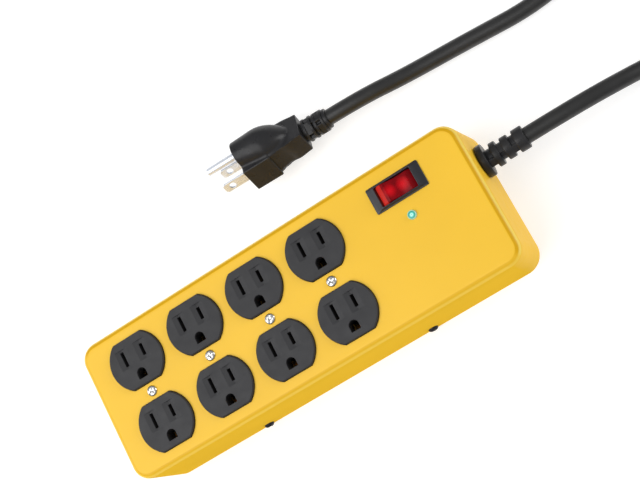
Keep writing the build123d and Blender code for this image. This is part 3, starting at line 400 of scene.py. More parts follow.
# The route, point by point, as the CAD's tubes run it
STRIP_ROUTE = [
    (0.1550, CORD_Y, CORD_Z),
    (0.1855, CORD_Y, CORD_Z),
    (0.2170, 0.0178, 0.0155),
    (0.2450, 0.0178, 0.0049),
    (0.2750, 0.0090, 0.0048),
    (0.3030, 0.0009, 0.0055),
]
PLUG_ROUTE = [
    (0.06338, 0.08973, 0.0139),
    (0.0860, 0.08914, 0.0139),
    (0.1120, 0.0882, 0.0066),
    (0.1500, 0.0862, 0.0048),
    (0.2000, 0.0818, 0.0048),
    (0.2500, 0.0945, 0.0049),
    (0.2800, 0.1034, 0.0090),
    (0.3060, 0.1110, 0.0146),
]
COIL_CENTRE = Vector((0.322, 0.058, 0.0))
COIL_STEPS = 16                       # points in a turn
COIL_START, COIL_END = radians(-96.0), radians(92.0 + 4 * 360.0)
LAYER_LOW, LAYER_HIGH = 0.0056, 0.01505
LOW_TURNS, CLIMB_TURNS = 2.40, 0.25
LOW_FIRST_R, LOW_LAST_R = 0.0600, 0.0370
HIGH_FIRST_R, HIGH_LAST_R = 0.0378, 0.0560


def coil_points():
    """The coil's turns: inwards on the lower layer, a climb, and outwards on the upper one."""
    total = (COIL_END - COIL_START) / (2 * pi)
    count = round(total * COIL_STEPS)
    high_turns = total - LOW_TURNS - CLIMB_TURNS
    widen = 4 / (3 + cos(2 * pi / COIL_STEPS))     # a control point lies outside the curve
    points = []
    for index in range(count + 1):
        turn = total * index / count
        if turn < LOW_TURNS:
            radius = LOW_FIRST_R + (LOW_LAST_R - LOW_FIRST_R) * turn / LOW_TURNS
            height = LAYER_LOW
        elif turn < LOW_TURNS + CLIMB_TURNS:
            share = (turn - LOW_TURNS) / CLIMB_TURNS
            radius = LOW_LAST_R + (HIGH_FIRST_R - LOW_LAST_R) * share
            height = LAYER_LOW + (LAYER_HIGH - LAYER_LOW) * share
        else:
            share = (turn - LOW_TURNS - CLIMB_TURNS) / high_turns
            radius = HIGH_FIRST_R + (HIGH_LAST_R - HIGH_FIRST_R) * share
            height = LAYER_HIGH
        angle = COIL_START + turn * 2 * pi
        reach = radius * widen
        points.append(COIL_CENTRE + Vector((reach * cos(angle), reach * sin(angle), height)))
    return points


def add_cord():
    """The whole cord as one smooth line, from the housing's relief to the plug's."""
    curve = bpy.data.curves.new("mains_cord", "CURVE")
    curve.dimensions = "3D"
    curve.bevel_depth = CORD_DIAMETER / 2
    curve.bevel_resolution = 6
    curve.resolution_u = 8
    curve.use_fill_caps = True
    spline = curve.splines.new("NURBS")
    points = [Vector(p) for p in STRIP_ROUTE] + coil_points() + [Vector(p) for p in PLUG_ROUTE[::-1]]
    spline.points.add(len(points) - 1)
    for point, place in zip(spline.points, points):
        point.co = (*place, 1.0)
    spline.order_u = 3
    spline.use_endpoint_u = True
    curve.materials.append(MATERIALS["cord_black"])
    cord = bpy.data.objects.new("mains_cord", curve)
    scene.collection.objects.link(cord)
    return cord


cord = add_cord()
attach(cord, "housing")
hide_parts("cord_strip_side", "cord_plug_side", "cord_coil")

# ---------------------------------------------------------------- mesh helpers
def placed(origin, x_dir, z_dir):
    """The matrix of a plane, like the CAD's: columns X, Y and Z and its origin."""
    x_axis, z_axis = Vector(x_dir).normalized(), Vector(z_dir).normalized()
    y_axis = z_axis.cross(x_axis)
    matrix = Matrix((x_axis, y_axis, z_axis)).transposed().to_4x4()
    matrix.translation = origin
    return matrix


def add_piece(name, mesh, slot, body="housing", replacing=(), sharp=35.0):
    """Put a finished mesh in the scene with its material, its body and its CAD node."""
    mesh.materials.append(MATERIALS[slot])
    mesh.shade_smooth()
    mesh.set_sharp_from_angle(angle=radians(sharp))
    piece = bpy.data.objects.new(name, mesh)
    scene.collection.objects.link(piece)
    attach(piece, body)
    if replacing:
        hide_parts(*replacing)
    return piece


def finished(name, bm):
    """A mesh from a bmesh, with its faces turned outwards."""
    bmesh.ops.remove_doubles(bm, verts=bm.verts, dist=1e-7)
    bmesh.ops.recalc_face_normals(bm, faces=bm.faces)
    mesh = bpy.data.meshes.new(name)
    bm.to_mesh(mesh)
    bm.free()
    return mesh


def skin(bm, rings, matrix, looped=False):
    """Faces over rings of equal count; open stacks of rings are capped at both ends."""
    rows = [[bm.verts.new(matrix @ Vector(point)) for point in ring] for ring in rings]
    pairs = list(zip(rows, rows[1:] + rows[:1])) if looped else list(zip(rows, rows[1:]))
    for near, far in pairs:
        for index in range(len(near)):
            follow = (index + 1) % len(near)
            bm.faces.new((near[index], near[follow], far[follow], far[index]))
    if not looped:
        bm.faces.new(rows[0][::-1])
        bm.faces.new(rows[-1])


def rounded_corners(outline, radius, steps=4):
    """A closed outline with each corner replaced by a short curve."""
    corners = [Vector(corner) for corner in outline]
    result = []
    for index, corner in enumerate(corners):
        before, after = corners[index - 1], corners[(index + 1) % len(corners)]
        start = corner + (before - corner) * min(0.5, radius / (before - corner).length)
        end = corner + (after - corner) * min(0.5, radius / (after - corner).length)
        for step in range(steps + 1):
            share = step / steps
            result.append((1 - share) ** 2 * start + 2 * share * (1 - share) * corner + share ** 2 * end)
    return result


def lathe(bm, profile, matrix, steps=72, looped=True):
    """Turn a profile of (distance along Z, radius) points about the matrix's Z axis."""
    rings = []
    for along, radius in profile:
        angles = [2 * pi * step / steps for step in range(steps)]
        rings.append([(radius * cos(angle), radius * sin(angle), along) for angle in angles])
    skin(bm, rings, matrix, looped)


def ring_band(bm, matrix, start, end, outer, inner, edge):
    """A ring with rounded outer edges, from start to end along the axis."""
    edge = min(edge, (end - start) * 0.45)
    arc = [radians(90 * step / 5) for step in range(6)]
    near = [(start + edge * (1 - sin(a)), outer - edge * (1 - cos(a))) for a in arc[::-1]]
    far = [(end - edge * (1 - sin(a)), outer - edge * (1 - cos(a))) for a in arc]
    profile = [(start, inner)] + near + far + [(end, inner)]
    lathe(bm, profile, matrix)


def bar_between(bm, matrix, start, end, angle, width, low, high):
    """A moulded bar along the axis that ties two rings together at one angle."""
    section = rounded_corners([(low, -width / 2), (high, -width / 2), (high, width / 2),
                               (low, width / 2)], 0.4 * MM, 3)
    turn = Matrix.Rotation(angle, 4, "Z")
    rings = [[(point.x, point.y, along) for point in section] for along in (start, end)]
    skin(bm, rings, matrix @ turn)


# ---------------------------------------------------------------- strain relief in the end wall
RELIEF = placed((0, CORD_Y, CORD_Z), (0, 1, 0), (1, 0, 0))
CORE_R, SLEEVE_R = 4.6 * MM, 4.8 * MM
SLEEVE_START, SLEEVE_END = 122.0, 154.6
CORE_AHEAD = 0.2                      # how far the core lies ahead of the sleeve, end for end
HOLLOW_R = 1.0 * MM                   # a narrow bore keeps each turned piece an open ring
# Rings as start, end and radius along the cord, then the inner collar and its shoulder
WALL_RINGS = [(127.6, 131.5, 9.5), (135.1, 138.7, 7.2), (141.5, 146.0, 6.6), (148.8, 154.9, 6.7)]
INNER_RINGS = [(122.1, 125.3, 8.0), (125.2, 127.7, 6.1)]
INNER_BORE = 4.3 * MM
WALL_EDGE, INNER_EDGE = 0.55 * MM, 0.3 * MM
BAR_ANGLES = (130, 85, 130)           # one for each gap between two rings
BAR_WIDTH, BAR_DROP, BAR_LAP = 4.6 * MM, 0.35, 0.4


def tube(bm, matrix, start, end, outer, inner):
    """A plain ring from start to end along the matrix's Z axis."""
    lathe(bm, [(start, inner), (start, outer), (end, outer), (end, inner)], matrix)


def wall_relief():
    """Ribbed relief: rings round a slim sleeve, tied by bars that change sides at each gap."""
    bm = bmesh.new()
    tube(bm, RELIEF, SLEEVE_START * MM, SLEEVE_END * MM, SLEEVE_R, CORE_R)
    core_start, core_end = SLEEVE_START + CORE_AHEAD, SLEEVE_END + CORE_AHEAD
    tube(bm, RELIEF, core_start * MM, core_end * MM, CORE_R, HOLLOW_R)
    for start, end, radius in INNER_RINGS:
        ring_band(bm, RELIEF, start * MM, end * MM, radius * MM, INNER_BORE, INNER_EDGE)
    for start, end, radius in WALL_RINGS:
        ring_band(bm, RELIEF, start * MM, end * MM, radius * MM, CORE_R, WALL_EDGE)
    for turn, (_, near, near_r), (far, _, far_r) in zip(BAR_ANGLES, WALL_RINGS, WALL_RINGS[1:]):
        height = (min(near_r, far_r) - BAR_DROP) * MM
        start, end = (near - BAR_LAP) * MM, (far + BAR_LAP) * MM
        for side in (0, 180):
            bar_between(bm, RELIEF, start, end, radians(turn + side), BAR_WIDTH, CORE_R, height)
    return finished("strain_relief_ribbed", bm)


wall_relief_piece = add_piece("strain_relief_ribbed", wall_relief(), "plug_black",
                              replacing=["strain_relief"])

# ---------------------------------------------------------------- plug
PLUG_ROLL, PLUG_YAW = radians(33.0), radians(-1.5)
PLUG_AXIS = Vector((cos(PLUG_YAW), sin(PLUG_YAW), 0))
PLUG_ACROSS = Vector((-sin(PLUG_YAW) * cos(PLUG_ROLL), cos(PLUG_YAW) * cos(PLUG_ROLL), -sin(PLUG_ROLL)))
PLUG = placed((7.2 * MM, 91.2 * MM, 13.9 * MM), PLUG_ACROSS, PLUG_AXIS)
BLOCK_HALF, BLOCK_LOW, BLOCK_HIGH, BLOCK_END = 13.2, -7.9, 8.6, 17.9
GRIP_LOW, GRIP_HIGH, GRIP_END = -7.4, 8.1, 39.6
# Half the grip's width at distances from the face, along its upper and its lower edge
GRIP_TOP_HALF = [(18.0, 12.0), (28.4, 10.8), (39.6, 9.3)]
GRIP_BOTTOM_HALF = [(18.0, 11.2), (21.6, 9.7), (26.4, 8.6), (31.0, 9.2), (39.6, 8.0)]
# The hump: its height, where it starts to fall and how far, its widest place and its taper
HUMP_TOP, HUMP_BASE, HUMP_FLAT_END, HUMP_FALL = 19.5, 8.4, 12.4, 20.5
HUMP_WIDEST, HUMP_CLOSE, HUMP_POINT = 16.7, 16.0, 0.7
HUMP_NEAR_HALF, HUMP_WIDE_HALF, HUMP_ROOT = 8.0, 11.1, -5.0
HUMP_LEAST, OUT_OF_REACH = 0.3, 50.0
HUMP_FILLET, BLOCK_EDGE, END_ROUND = 2.2, 0.55, 0.7
# An outline is found along rays from this height on the plug's axis
RAY_COUNT, RAY_FROM, RAY_LENGTH, RAY_HALVINGS = 200, 3.0, 26.0, 22


def between(table, place):
    """A value read from a table of (place, value), eased between its entries."""
    if place <= table[0][0]:
        return table[0][1]
    for (near, near_value), (far, far_value) in zip(table, table[1:]):
        if place <= far:
            share = (place - near) / (far - near)
            return near_value + (far_value - near_value) * (1 - cos(pi * share)) / 2
    return table[-1][1]


def box_distance(across, up, half, low, high, edge):
    """Distance to a rectangle with rounded corners, negative inside."""
    beyond_x = abs(across) - half + edge
    beyond_y = abs(up - (low + high) / 2) - (high - low) / 2 + edge
    outside = hypot(max(beyond_x, 0), max(beyond_y, 0))
    return outside + min(max(beyond_x, beyond_y), 0) - edge


def hump_distance(across, up, along):
    """Distance to the arched hump over the ground pin, which closes to a point on the grip."""
    if along <= HUMP_WIDEST:
        half = HUMP_NEAR_HALF + (HUMP_WIDE_HALF - HUMP_NEAR_HALF) * along / HUMP_WIDEST
    else:
        close = min(1.0, (along - HUMP_WIDEST) / HUMP_CLOSE)
        half = HUMP_WIDE_HALF * (1 - close ** 2) ** HUMP_POINT
    fall = max(0.0, (along - HUMP_FLAT_END) / HUMP_FALL)
    top = HUMP_BASE + (HUMP_TOP - HUMP_BASE) * (1 - fall ** 2)
    rise = min(half, top - HUMP_BASE)
    if half < HUMP_LEAST or rise < HUMP_LEAST:
        return OUT_OF_REACH
    middle = top - rise
    if up <= middle:
        return max(abs(across) - half, HUMP_ROOT - up)
    return (hypot(across / half, (up - middle) / rise) - 1) * min(half, rise)


def edge_inset(gap):
    """How far a rounded edge draws the moulding in, at a distance from the end that it rounds."""
    if gap >= END_ROUND:
        return 0.0
    return END_ROUND - sqrt(END_ROUND ** 2 - (END_ROUND - gap) ** 2)


def plug_distance(across, up, along):
    """Distance to the plug's moulding at a distance along it from its face, all in mm."""
    if along <= BLOCK_END:
        base = box_distance(across, up, BLOCK_HALF, BLOCK_LOW, BLOCK_HIGH, BLOCK_EDGE)
        base += edge_inset(BLOCK_END - along)
    else:
        share = min(1.0, max(0.0, (up - GRIP_LOW) / (GRIP_HIGH - GRIP_LOW)))
        half = (between(GRIP_BOTTOM_HALF, along) * (1 - share) + between(GRIP_TOP_HALF, along) * share)
        base = box_distance(across, up, half, GRIP_LOW, GRIP_HIGH, BLOCK_EDGE)
    hump = hump_distance(across, up, along)
    blend = max(HUMP_FILLET - abs(base - hump), 0) / HUMP_FILLET
    return min(base, hump) - blend ** 2 * HUMP_FILLET / 4


def plug_section(along):
    """The moulding's outline at a distance from the face, found along rays from its middle."""
    inset = edge_inset(min(along, GRIP_END - along))
    ring = []
    for step in range(RAY_COUNT):
        angle = 2 * pi * step / RAY_COUNT
        near, far = 0.0, RAY_LENGTH
        for _ in range(RAY_HALVINGS):
            reach = (near + far) / 2
            if plug_distance(reach * cos(angle), RAY_FROM + reach * sin(angle), along) + inset < 0:
                near = reach
            else:
                far = reach
        ring.append((near * cos(angle) * MM, (RAY_FROM + near * sin(angle)) * MM, along * MM))
    return ring


def edge_steps(start, direction):
    """Places close to an end, crowded where its edge is round."""
    return [start + direction * END_ROUND * (1 - cos(radians(18 * step))) for step in range(6)]


# Two segments of the plug's relief, each a pair of rims with four bars between them:
# start, end, radius and turn
PLUG_SEGMENTS = [(41.1, 46.9, 7.15, 45), (48.1, 54.0, 6.85, 0)]
SEGMENT_RIM, SEGMENT_BAR, SEGMENT_BORE = 1.5, 7.4, 4.0
SEGMENT_EDGE, BAR_END_INSET, BAR_TOP_DROP = 0.35, 0.8, 0.9
PLUG_LINK = (46.5, 48.5, 5.0, 5.9)    # between the segments: start, end, width and reach
PLUG_SLEEVE = (39.0, 56.1, 5.1)
PLUG_COLLARS = [(39.3, 41.4, 5.9, 0.3), (53.9, 56.2, 6.1, 0.4)]
# Rows of points along the moulding between its round edges: how many, their start and their run
BLOCK_ROWS, BLOCK_FROM, BLOCK_RUN = 16, 1.0, 15.6
GRIP_ROWS, GRIP_FROM, GRIP_RUN = 34, 0.02, 20.6


def plug_body():
    """Grip, block and hump as one moulding, and the ribbed relief behind it."""
    bm = bmesh.new()
    block = edge_steps(0.0, 1)
    block += [BLOCK_FROM + BLOCK_RUN * row / BLOCK_ROWS for row in range(1, BLOCK_ROWS + 1)]
    block += edge_steps(BLOCK_END, -1)[::-1]
    grip = [BLOCK_END + GRIP_FROM + GRIP_RUN * row / GRIP_ROWS for row in range(GRIP_ROWS + 1)]
    grip += edge_steps(GRIP_END, -1)[::-1]
    skin(bm, [plug_section(along) for along in block + grip], PLUG)
    start, end, radius = PLUG_SLEEVE
    tube(bm, PLUG, start * MM, end * MM, radius * MM, HOLLOW_R)
    bore = SEGMENT_BORE * MM
    for start, end, radius, turn in PLUG_SEGMENTS:
        for near, far in ((start, start + SEGMENT_RIM), (end - SEGMENT_RIM, end)):
            ring_band(bm, PLUG, near * MM, far * MM, radius * MM, bore, SEGMENT_EDGE * MM)
        low, high = (start + BAR_END_INSET) * MM, (end - BAR_END_INSET) * MM
        for bar in range(4):
            bar_between(bm, PLUG, low, high, radians(90 * bar + turn), SEGMENT_BAR * MM, bore,
                        (radius - BAR_TOP_DROP) * MM)
    start, end, width, reach = (value * MM for value in PLUG_LINK)
    for side in (90, 270):
        bar_between(bm, PLUG, start, end, radians(side), width, bore, reach)
    for start, end, radius, edge in PLUG_COLLARS:
        ring_band(bm, PLUG, start * MM, end * MM, radius * MM, bore, edge * MM)
    return finished("plug_moulding", bm)


plug_piece = add_piece("plug_moulding", plug_body(), "plug_black", replacing=["plug_body"], sharp=30)

# Standard sizes of a grounded 15 A plug, and how deep the metal goes into the moulding
BLADE_ROOT, BLADE_LENGTH, BLADE_HALF, BLADE_THICK = 9.0, 17.5, 3.175, 1.5
BLADE_PLACE, BLADE_CORNER, BLADE_BEVEL = 6.35, 1.2, 0.16
HOLE_PLACE, HOLE_R = 11.9, 2.0
PIN_UP, PIN_LENGTH, PIN_R, PIN_DOME = 11.9, 21.0, 2.375, 2.0


def plate_from_outlines(name, outlines, thickness, bevel):
    """A plate from closed outlines, the later ones holes in the first, with eased edges."""
    curve = bpy.data.curves.new(name, "CURVE")
    curve.dimensions = "2D"
    curve.fill_mode = "BOTH"
    curve.extrude = (thickness / 2 - bevel) * MM
    curve.bevel_depth = bevel * MM
    curve.bevel_resolution = 2
    curve.offset = -bevel * MM
    for outline in outlines:
        spline = curve.splines.new("POLY")
        spline.points.add(len(outline) - 1)
        for point, place in zip(spline.points, outline):
            point.co = (place[0] * MM, place[1] * MM, 0, 1)
        spline.use_cyclic_u = True
    drawn = bpy.data.objects.new(name, curve)
    mesh = bpy.data.meshes.new_from_object(drawn)
    mesh.name = name
    bpy.data.objects.remove(drawn)
    bpy.data.curves.remove(curve)
    return mesh


def welded(mesh, matrix):
    """Join a curve mesh's loose edges and put it in its place."""
    bm = bmesh.new()
    bm.from_mesh(mesh)
    bmesh.ops.transform(bm, matrix=matrix, verts=bm.verts)
    return finished(mesh.name, bm)


def circle(centre, radius, steps=40):
    angles = [2 * pi * step / steps for step in range(steps)]
    return [(centre[0] + radius * cos(angle), centre[1] + radius * sin(angle)) for angle in angles]


def plug_blade(name, across):
    """A flat blade with eased end corners and a hole, standing out of the plug's face."""
    tip, side, corner = BLADE_LENGTH, BLADE_HALF, BLADE_CORNER
    outline = [(-BLADE_ROOT, -side), (tip - corner, -side), (tip, -side + corner),
               (tip, side - corner), (tip - corner, side), (-BLADE_ROOT, side)]
    mesh = plate_from_outlines(name, [outline, circle((HOLE_PLACE, 0), HOLE_R)], BLADE_THICK, BLADE_BEVEL)
    matrix = placed(PLUG @ Vector((across * MM, 0, 0)), -PLUG_AXIS, PLUG_ACROSS)
    return welded(mesh, matrix)


def ground_pin():
    """A round pin with a domed end."""
    bm = bmesh.new()
    profile = []
    for step in range(11):
        turn = radians(9 * step)
        profile.append((PIN_DOME * (1 - cos(turn)) - PIN_LENGTH, PIN_R - PIN_DOME * (1 - sin(turn))))
    profile.append((BLADE_ROOT, PIN_R))
    lathe(bm, [(along * MM, reach * MM) for along, reach in profile],
          PLUG @ Matrix.Translation((0, PIN_UP * MM, 0)), steps=48, looped=False)
    return finished("ground_pin_domed", bm)


blade_pieces = [
    add_piece("hot_blade_eased", plug_blade("hot_blade_eased", BLADE_PLACE), "blade_nickel",
              replacing=["plug_hot_blade"]),
    add_piece("neutral_blade_eased", plug_blade("neutral_blade_eased", -BLADE_PLACE), "blade_nickel",
              replacing=["plug_neutral_blade"]),
    add_piece("ground_pin_domed", ground_pin(), "blade_nickel", replacing=["plug_ground_pin"]),
]

# ---------------------------------------------------------------- tie round the coil
TIE_ANGLE, TIE_WIDTH, TIE_THICK = radians(20.0), 10.0, 0.8
TIE_MIDDLE_R = 47.3
# The tape's inner side round the bundle: outwards from its middle, and height
TIE_CORNERS = [(-14.6, 0.8), (15.3, 0.8), (11.9, 20.1), (-8.2, 20.1), (-14.6, 9.0)]
TIE_HALF_LENGTH, TIE_HALF_HEIGHT = 15.0, 9.65
TIE_CORNER_REACH, TIE_CORNER_STEPS = 4.5, 8
TIE_LAP = slice(14, 31)               # the stretch of the path that the lapped end covers
TIE_EASE, TIE_PRESSED = 0.25, 0.95


def coil_tie():
    """A woven tape wrapped once round the turns, its end lapped over the outer side."""
    bm = bmesh.new()
    radial = Vector((cos(TIE_ANGLE), sin(TIE_ANGLE), 0))
    matrix = placed(COIL_CENTRE + radial * TIE_MIDDLE_R * MM, radial, radial.cross(Vector((0, 0, 1))))
    path = rounded_corners(TIE_CORNERS, TIE_CORNER_REACH, TIE_CORNER_STEPS)
    centre = Vector((0, TIE_CORNERS[0][1] + TIE_HALF_HEIGHT))
    half = TIE_WIDTH / 2
    for line, lift in ((path, 0.0), (path[TIE_LAP], TIE_THICK)):
        rings = []
        for point in line:
            outward = point - centre
            outward = Vector((outward.x / TIE_HALF_LENGTH, outward.y / TIE_HALF_HEIGHT)).normalized()
            inner = point + outward * lift
            outer = point + outward * (lift + TIE_THICK * TIE_PRESSED)
            section = [(inner, -half), (outer, TIE_EASE - half), (outer, half - TIE_EASE), (inner, half)]
            rings.append([(spot.x * MM, spot.y * MM, across * MM) for spot, across in section])
        skin(bm, rings, matrix, looped=lift == 0.0)
    return finished("coil_tie_woven", bm)


tie_piece = add_piece("coil_tie_woven", coil_tie(), "tie_black", replacing=["cord_tie"])

# ---------------------------------------------------------------- screws
HEAD_ROWS, HEAD_ANGLES = 30, 96
HEAD_ROUND, RIM_HALF = 3.2, 0.02      # how squarely the dome turns down, and half its rim's thickness
# The cross: half its arms' width and their reach, how soft the edges are, and its depth
CROSS_HALF, CROSS_HALF_EDGE, CROSS_REACH, CROSS_REACH_EDGE = 0.56, 0.18, 2.25, 0.3
CROSS_DEPTH, CROSS_TAPER = 1.3, 0.2
FACE_SCREW = {"head_r": 3.15, "head_height": 1.4, "shank_r": 1.6, "shank_length": 15.0}
SIDE_SCREW = {"head_r": 3.0, "head_height": 1.75, "shank_r": 1.45, "shank_length": 7.0}
COVER_TOP = 46.0
SIDE_SCREW_X, SIDE_SCREW_UP, SIDE_SEAT = 56.0, 5.6, 1.8


def pressed(distance, edge):
    """How far inside a soft edge a point is: 0 outside, 1 once it is past the edge's width."""
    return min(1, max(0, distance / edge))


def screw(bm, matrix, head_r, head_height, shank_r, shank_length, turn):
    """A domed head with a cross recess, pressed as a height over the disc, and its shank."""
    rings = []
    for row in range(1, HEAD_ROWS + 1):
        share = row / HEAD_ROWS
        ring = []
        for step in range(HEAD_ANGLES):
            angle = 2 * pi * step / HEAD_ANGLES
            x, y = share * head_r * cos(angle), share * head_r * sin(angle)
            slot_width, slot_reach = sorted((abs(x), abs(y)))
            inside = pressed(CROSS_HALF - slot_width, CROSS_HALF_EDGE)
            inside *= pressed(CROSS_REACH - slot_reach, CROSS_REACH_EDGE)
            height = head_height * (1 - share ** HEAD_ROUND) ** 0.5
            height -= CROSS_DEPTH * inside * (1 - CROSS_TAPER * slot_reach)
            ring.append((x * MM, y * MM, max(RIM_HALF, height) * MM))
        rings.append(ring)
    for reach, height in ((head_r, -RIM_HALF), (shank_r, -RIM_HALF), (shank_r, -shank_length)):
        rings.append([(reach * cos(2 * pi * step / HEAD_ANGLES) * MM,
                       reach * sin(2 * pi * step / HEAD_ANGLES) * MM, height * MM)
                      for step in range(HEAD_ANGLES)])
    skin(bm, rings, matrix @ Matrix.Rotation(radians(turn), 4, "Z"))


def face_screws():
    """One bright screw in the middle of each duplex, each stopped at its own angle."""
    bm = bmesh.new()
    for number, turn in enumerate((38, 12, 61, 24), start=1):
        low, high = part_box(f"receptacle_{number}_face")
        origin = ((low.x + high.x) / 2, (low.y + high.y) / 2, COVER_TOP * MM)
        screw(bm, placed(origin, (1, 0, 0), (0, 0, 1)), turn=turn, **FACE_SCREW)
    return finished("face_screws_crossed", bm)


def side_screws():
    """Two black screws low on each long side."""
    low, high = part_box("base_screws")
    seat = SIDE_SEAT * MM
    bm = bmesh.new()
    for x, turn in ((-SIDE_SCREW_X, 70), (SIDE_SCREW_X, 30)):
        for y, side in ((high.y - seat, 1), (low.y + seat, -1)):
            matrix = placed((x * MM, y, SIDE_SCREW_UP * MM), (1, 0, 0), (0, side, 0))
            screw(bm, matrix, turn=turn, **SIDE_SCREW)
    return finished("side_screws_crossed", bm)


add_piece("face_screws_crossed", face_screws(), "screw_chrome", replacing=["receptacle_screws"], sharp=40)
add_piece("side_screws_crossed", side_screws(), "black_steel", replacing=["base_screws"], sharp=40)

# ---------------------------------------------------------------- switch
CASE_STEPS = 5
# The case from its foot, out over the cover, up the bezel and down into the well:
# height, half length, half width, corner radius
CASE_RINGS = [
    (24.0, 14.2, 6.6, 0.6), (45.95, 14.2, 6.6, 0.6), (46.0, 16.0, 7.4, 0.8), (46.08, 16.2, 7.6, 0.9),
    (46.55, 16.2, 7.6, 0.9), (46.72, 16.05, 7.45, 0.9), (46.78, 15.6, 7.0, 0.8),
    (48.55, 12.0, 6.6, 0.8), (48.75, 11.7, 6.35, 0.7), (48.8, 11.5, 6.15, 0.6), (48.7, 11.2, 5.9, 0.5),
    (48.4, 11.1, 5.8, 0.4), (25.2, 11.1, 5.8, 0.4),
]


def rounded_rectangle(half_x, half_y, corner):
    """A rectangle with rounded corners, four stretches of arc joined by its sides."""
    points = []
    for quarter, (side_x, side_y) in enumerate(((1, 1), (-1, 1), (-1, -1), (1, -1))):
        for step in range(CASE_STEPS + 1):
            angle = radians(90 * (quarter + step / CASE_STEPS))
            points.append((side_x * (half_x - corner) + corner * cos(angle),
                           side_y * (half_y - corner) + corner * sin(angle)))
    return points


def switch_case():
    """Snap-in case with a raised bezel whose ends slope and whose well holds the rocker."""
    bm = bmesh.new()
    centre = placed((ROCKER_PIVOT.x, ROCKER_PIVOT.y, 0), (1, 0, 0), (0, 0, 1))
    rings = [[(x * MM, y * MM, height * MM) for x, y in rounded_rectangle(half_x, half_y, corner)]
             for height, half_x, half_y, corner in CASE_RINGS]
    skin(bm, rings, centre)
    return finished("switch_case_bezel", bm)


add_piece("switch_case_bezel", switch_case(), "switch_plastic", replacing=["switch_case"], sharp=28)

ROCKER_TILT = radians(10.5)
ROCKER_HALF_WIDTH, ROCKER_BEVEL = 5.45, 0.28
ROCKER_END_R, ROCKER_FOOT = 10.88, -2.6
# Each half's lip ends in a small step down, and a hollow face runs from there to the middle
LIP_POINTS = [(-6.6, 5.25), (-6.45, 4.75), (-6.15, 4.7)]
HOLLOW_FALL, HOLLOW_SAG = 1.4, 1.0
PIN_BORE, ROCKER_PIN_R, ROCKER_PIN_EDGE, ROCKER_PIN_REACH = 0.3, 1.2, 0.1, 6.5
STEM_LOW, STEM_HIGH, STEM_R, STEM_BORE = -7.2, -2.5, 2.3, 1.15


def rocker_outline():
    """Side view of the rocker: ends round about the pivot, a lip at each, two hollow faces."""
    turns = [radians(angle) for angle in range(-8, 26, 4)]
    left = [(-ROCKER_END_R * cos(turn), ROCKER_END_R * sin(turn)) for turn in turns] + LIP_POINTS
    start_x, start_z = LIP_POINTS[-1]
    for step in range(1, 9):
        share = step / 8
        fall = HOLLOW_FALL * share + HOLLOW_SAG * share * (1 - share)
        left.append((start_x * (1 - share), start_z - fall))
    right = [(-x, z) for x, z in left[-2::-1]]
    return left + right + [(7.0, ROCKER_FOOT), (-7.0, ROCKER_FOOT)]


def rocker():
    """The rocker's shell, its pins and its stem, turned to the stop where the left end is up."""
    width = 2 * ROCKER_HALF_WIDTH
    mesh = plate_from_outlines("rocker_glowing", [rocker_outline()], width, ROCKER_BEVEL)
    side = placed((0, 0, 0), (1, 0, 0), (0, -1, 0))
    place = Matrix.Translation(ROCKER_PIVOT) @ Matrix.Rotation(ROCKER_TILT, 4, "Y")
    bm = bmesh.new()
    bm.from_mesh(mesh)
    bmesh.ops.transform(bm, matrix=place @ side, verts=bm.verts)
    shoulder, thin = ROCKER_PIN_REACH - ROCKER_PIN_EDGE, ROCKER_PIN_R - ROCKER_PIN_EDGE
    half = [(shoulder, ROCKER_PIN_R), (ROCKER_PIN_REACH, thin), (ROCKER_PIN_REACH, PIN_BORE)]
    pins = [(-along, reach) for along, reach in half[::-1]] + half
    lathe(bm, [(along * MM, reach * MM) for along, reach in pins], place @ side, 32)
    stem = [(STEM_LOW, STEM_BORE), (STEM_LOW, STEM_R), (STEM_HIGH, STEM_R), (STEM_HIGH, STEM_BORE)]
    lathe(bm, [(along * MM, reach * MM) for along, reach in stem], place, 32)
    return finished("rocker_glowing", bm)


add_piece("rocker_glowing", rocker(), "rocker_red", body="rocker", replacing=["switch_rocker"], sharp=32)

# ---------------------------------------------------------------- indicator
FLANGE_LOW, FLANGE_HIGH, FLANGE_R = 43.1, 44.2, 3.3
DOME_DROP, DOME_R, DOME_RISE = 0.35, 1.85, 0.30


def indicator():
    """A lens with a flange under the cover, a raised rim ring and a low dome inside it."""
    bm = bmesh.new()
    top = LENS_TOP / MM
    rim = LENS_R / MM
    profile = [(FLANGE_LOW, FLANGE_R), (FLANGE_HIGH, FLANGE_R), (FLANGE_HIGH + 0.1, rim), (top - 0.5, rim),
               (top - 0.15, rim - 0.08), (top, rim - 0.25), (top - 0.05, rim - 0.45),
               (top - DOME_DROP, DOME_R)]
    for step in range(1, 9):
        turn = radians(10 * step)
        profile.append((top - DOME_DROP + DOME_RISE * sin(turn), DOME_R * cos(turn)))
    matrix = Matrix.Translation((LENS_CENTRE.x, LENS_CENTRE.y, 0))
    lathe(bm, [(along * MM, reach * MM) for along, reach in profile], matrix, looped=False)
    return finished("indicator_lens_ringed", bm)


add_piece("indicator_lens_ringed", indicator(), "lens_teal", replacing=["indicator_lens"])

# ---------------------------------------------------------------- floor and light
scene.view_settings.view_transform = "Standard"
HORIZON_LIGHT, ZENITH_LIGHT = 0.16, 0.46
FLOOR_HALF, FLOOR_GREY, FLOOR_GLOW = 3.0, 0.52, 0.65
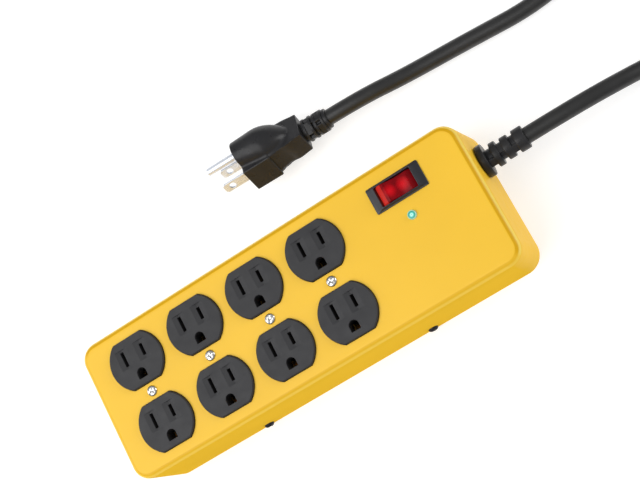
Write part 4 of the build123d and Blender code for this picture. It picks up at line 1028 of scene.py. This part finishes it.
# Soft lights: place, size across and power
LIGHTS = {
    "key": ((-0.80, -0.16, 1.38), 1.6, 17.2),
    "end_side": ((1.25, 0.10, 0.45), 0.7, 4.8),
    "low_fill": ((-1.20, 0.42, 0.30), 0.9, 2.6),
}


def add_floor():
    """A plain pale floor, partly self-lit so that the shadows stay faint."""
    mesh = bpy.data.meshes.new("floor")
    half = FLOOR_HALF
    corners = [(-half, -half, 0), (half, -half, 0), (half, half, 0), (-half, half, 0)]
    mesh.from_pydata(corners, [], [(0, 1, 2, 3)])
    floor = bpy.data.objects.new("floor", mesh)
    floor.location.z = -0.2 * MM
    scene.collection.objects.link(floor)
    material, _, shader = new_material("floor")
    shader.inputs["Base Color"].default_value = (FLOOR_GREY, FLOOR_GREY, FLOOR_GREY, 1)
    shader.inputs["Roughness"].default_value = 0.9
    shader.inputs["Emission Color"].default_value = (1, 1, 1, 1)
    shader.inputs["Emission Strength"].default_value = FLOOR_GLOW
    mesh.materials.append(material)


def add_light(name, place, target, size, power):
    data = bpy.data.lights.new(name, "AREA")
    data.shape = "DISK"
    data.size = size
    data.energy = power
    light = bpy.data.objects.new(name, data)
    light.location = place
    light.rotation_euler = (Vector(target) - Vector(place)).to_track_quat("-Z", "Y").to_euler()
    scene.collection.objects.link(light)


def add_world():
    """A studio dome, dim at the horizon and bright overhead."""
    world = bpy.data.worlds.new("studio")
    world.use_nodes = True
    tree = world.node_tree
    background = tree.nodes["Background"]
    background.inputs["Color"].default_value = (1, 1, 1, 1)
    coordinates = tree.nodes.new("ShaderNodeTexCoord")
    split = tree.nodes.new("ShaderNodeSeparateXYZ")
    tree.links.new(coordinates.outputs["Generated"], split.inputs["Vector"])
    strength = spread(tree, split.outputs["Z"], HORIZON_LIGHT, ZENITH_LIGHT, 0.0, 0.7)
    tree.links.new(strength, background.inputs["Strength"])
    scene.world = world


add_floor()
add_world()
for light_name, (light_place, light_size, light_power) in LIGHTS.items():
    add_light(light_name, light_place, (0, 0, 0), light_size, light_power)

# ---------------------------------------------------------------- the end
bpy.context.view_layer.update()
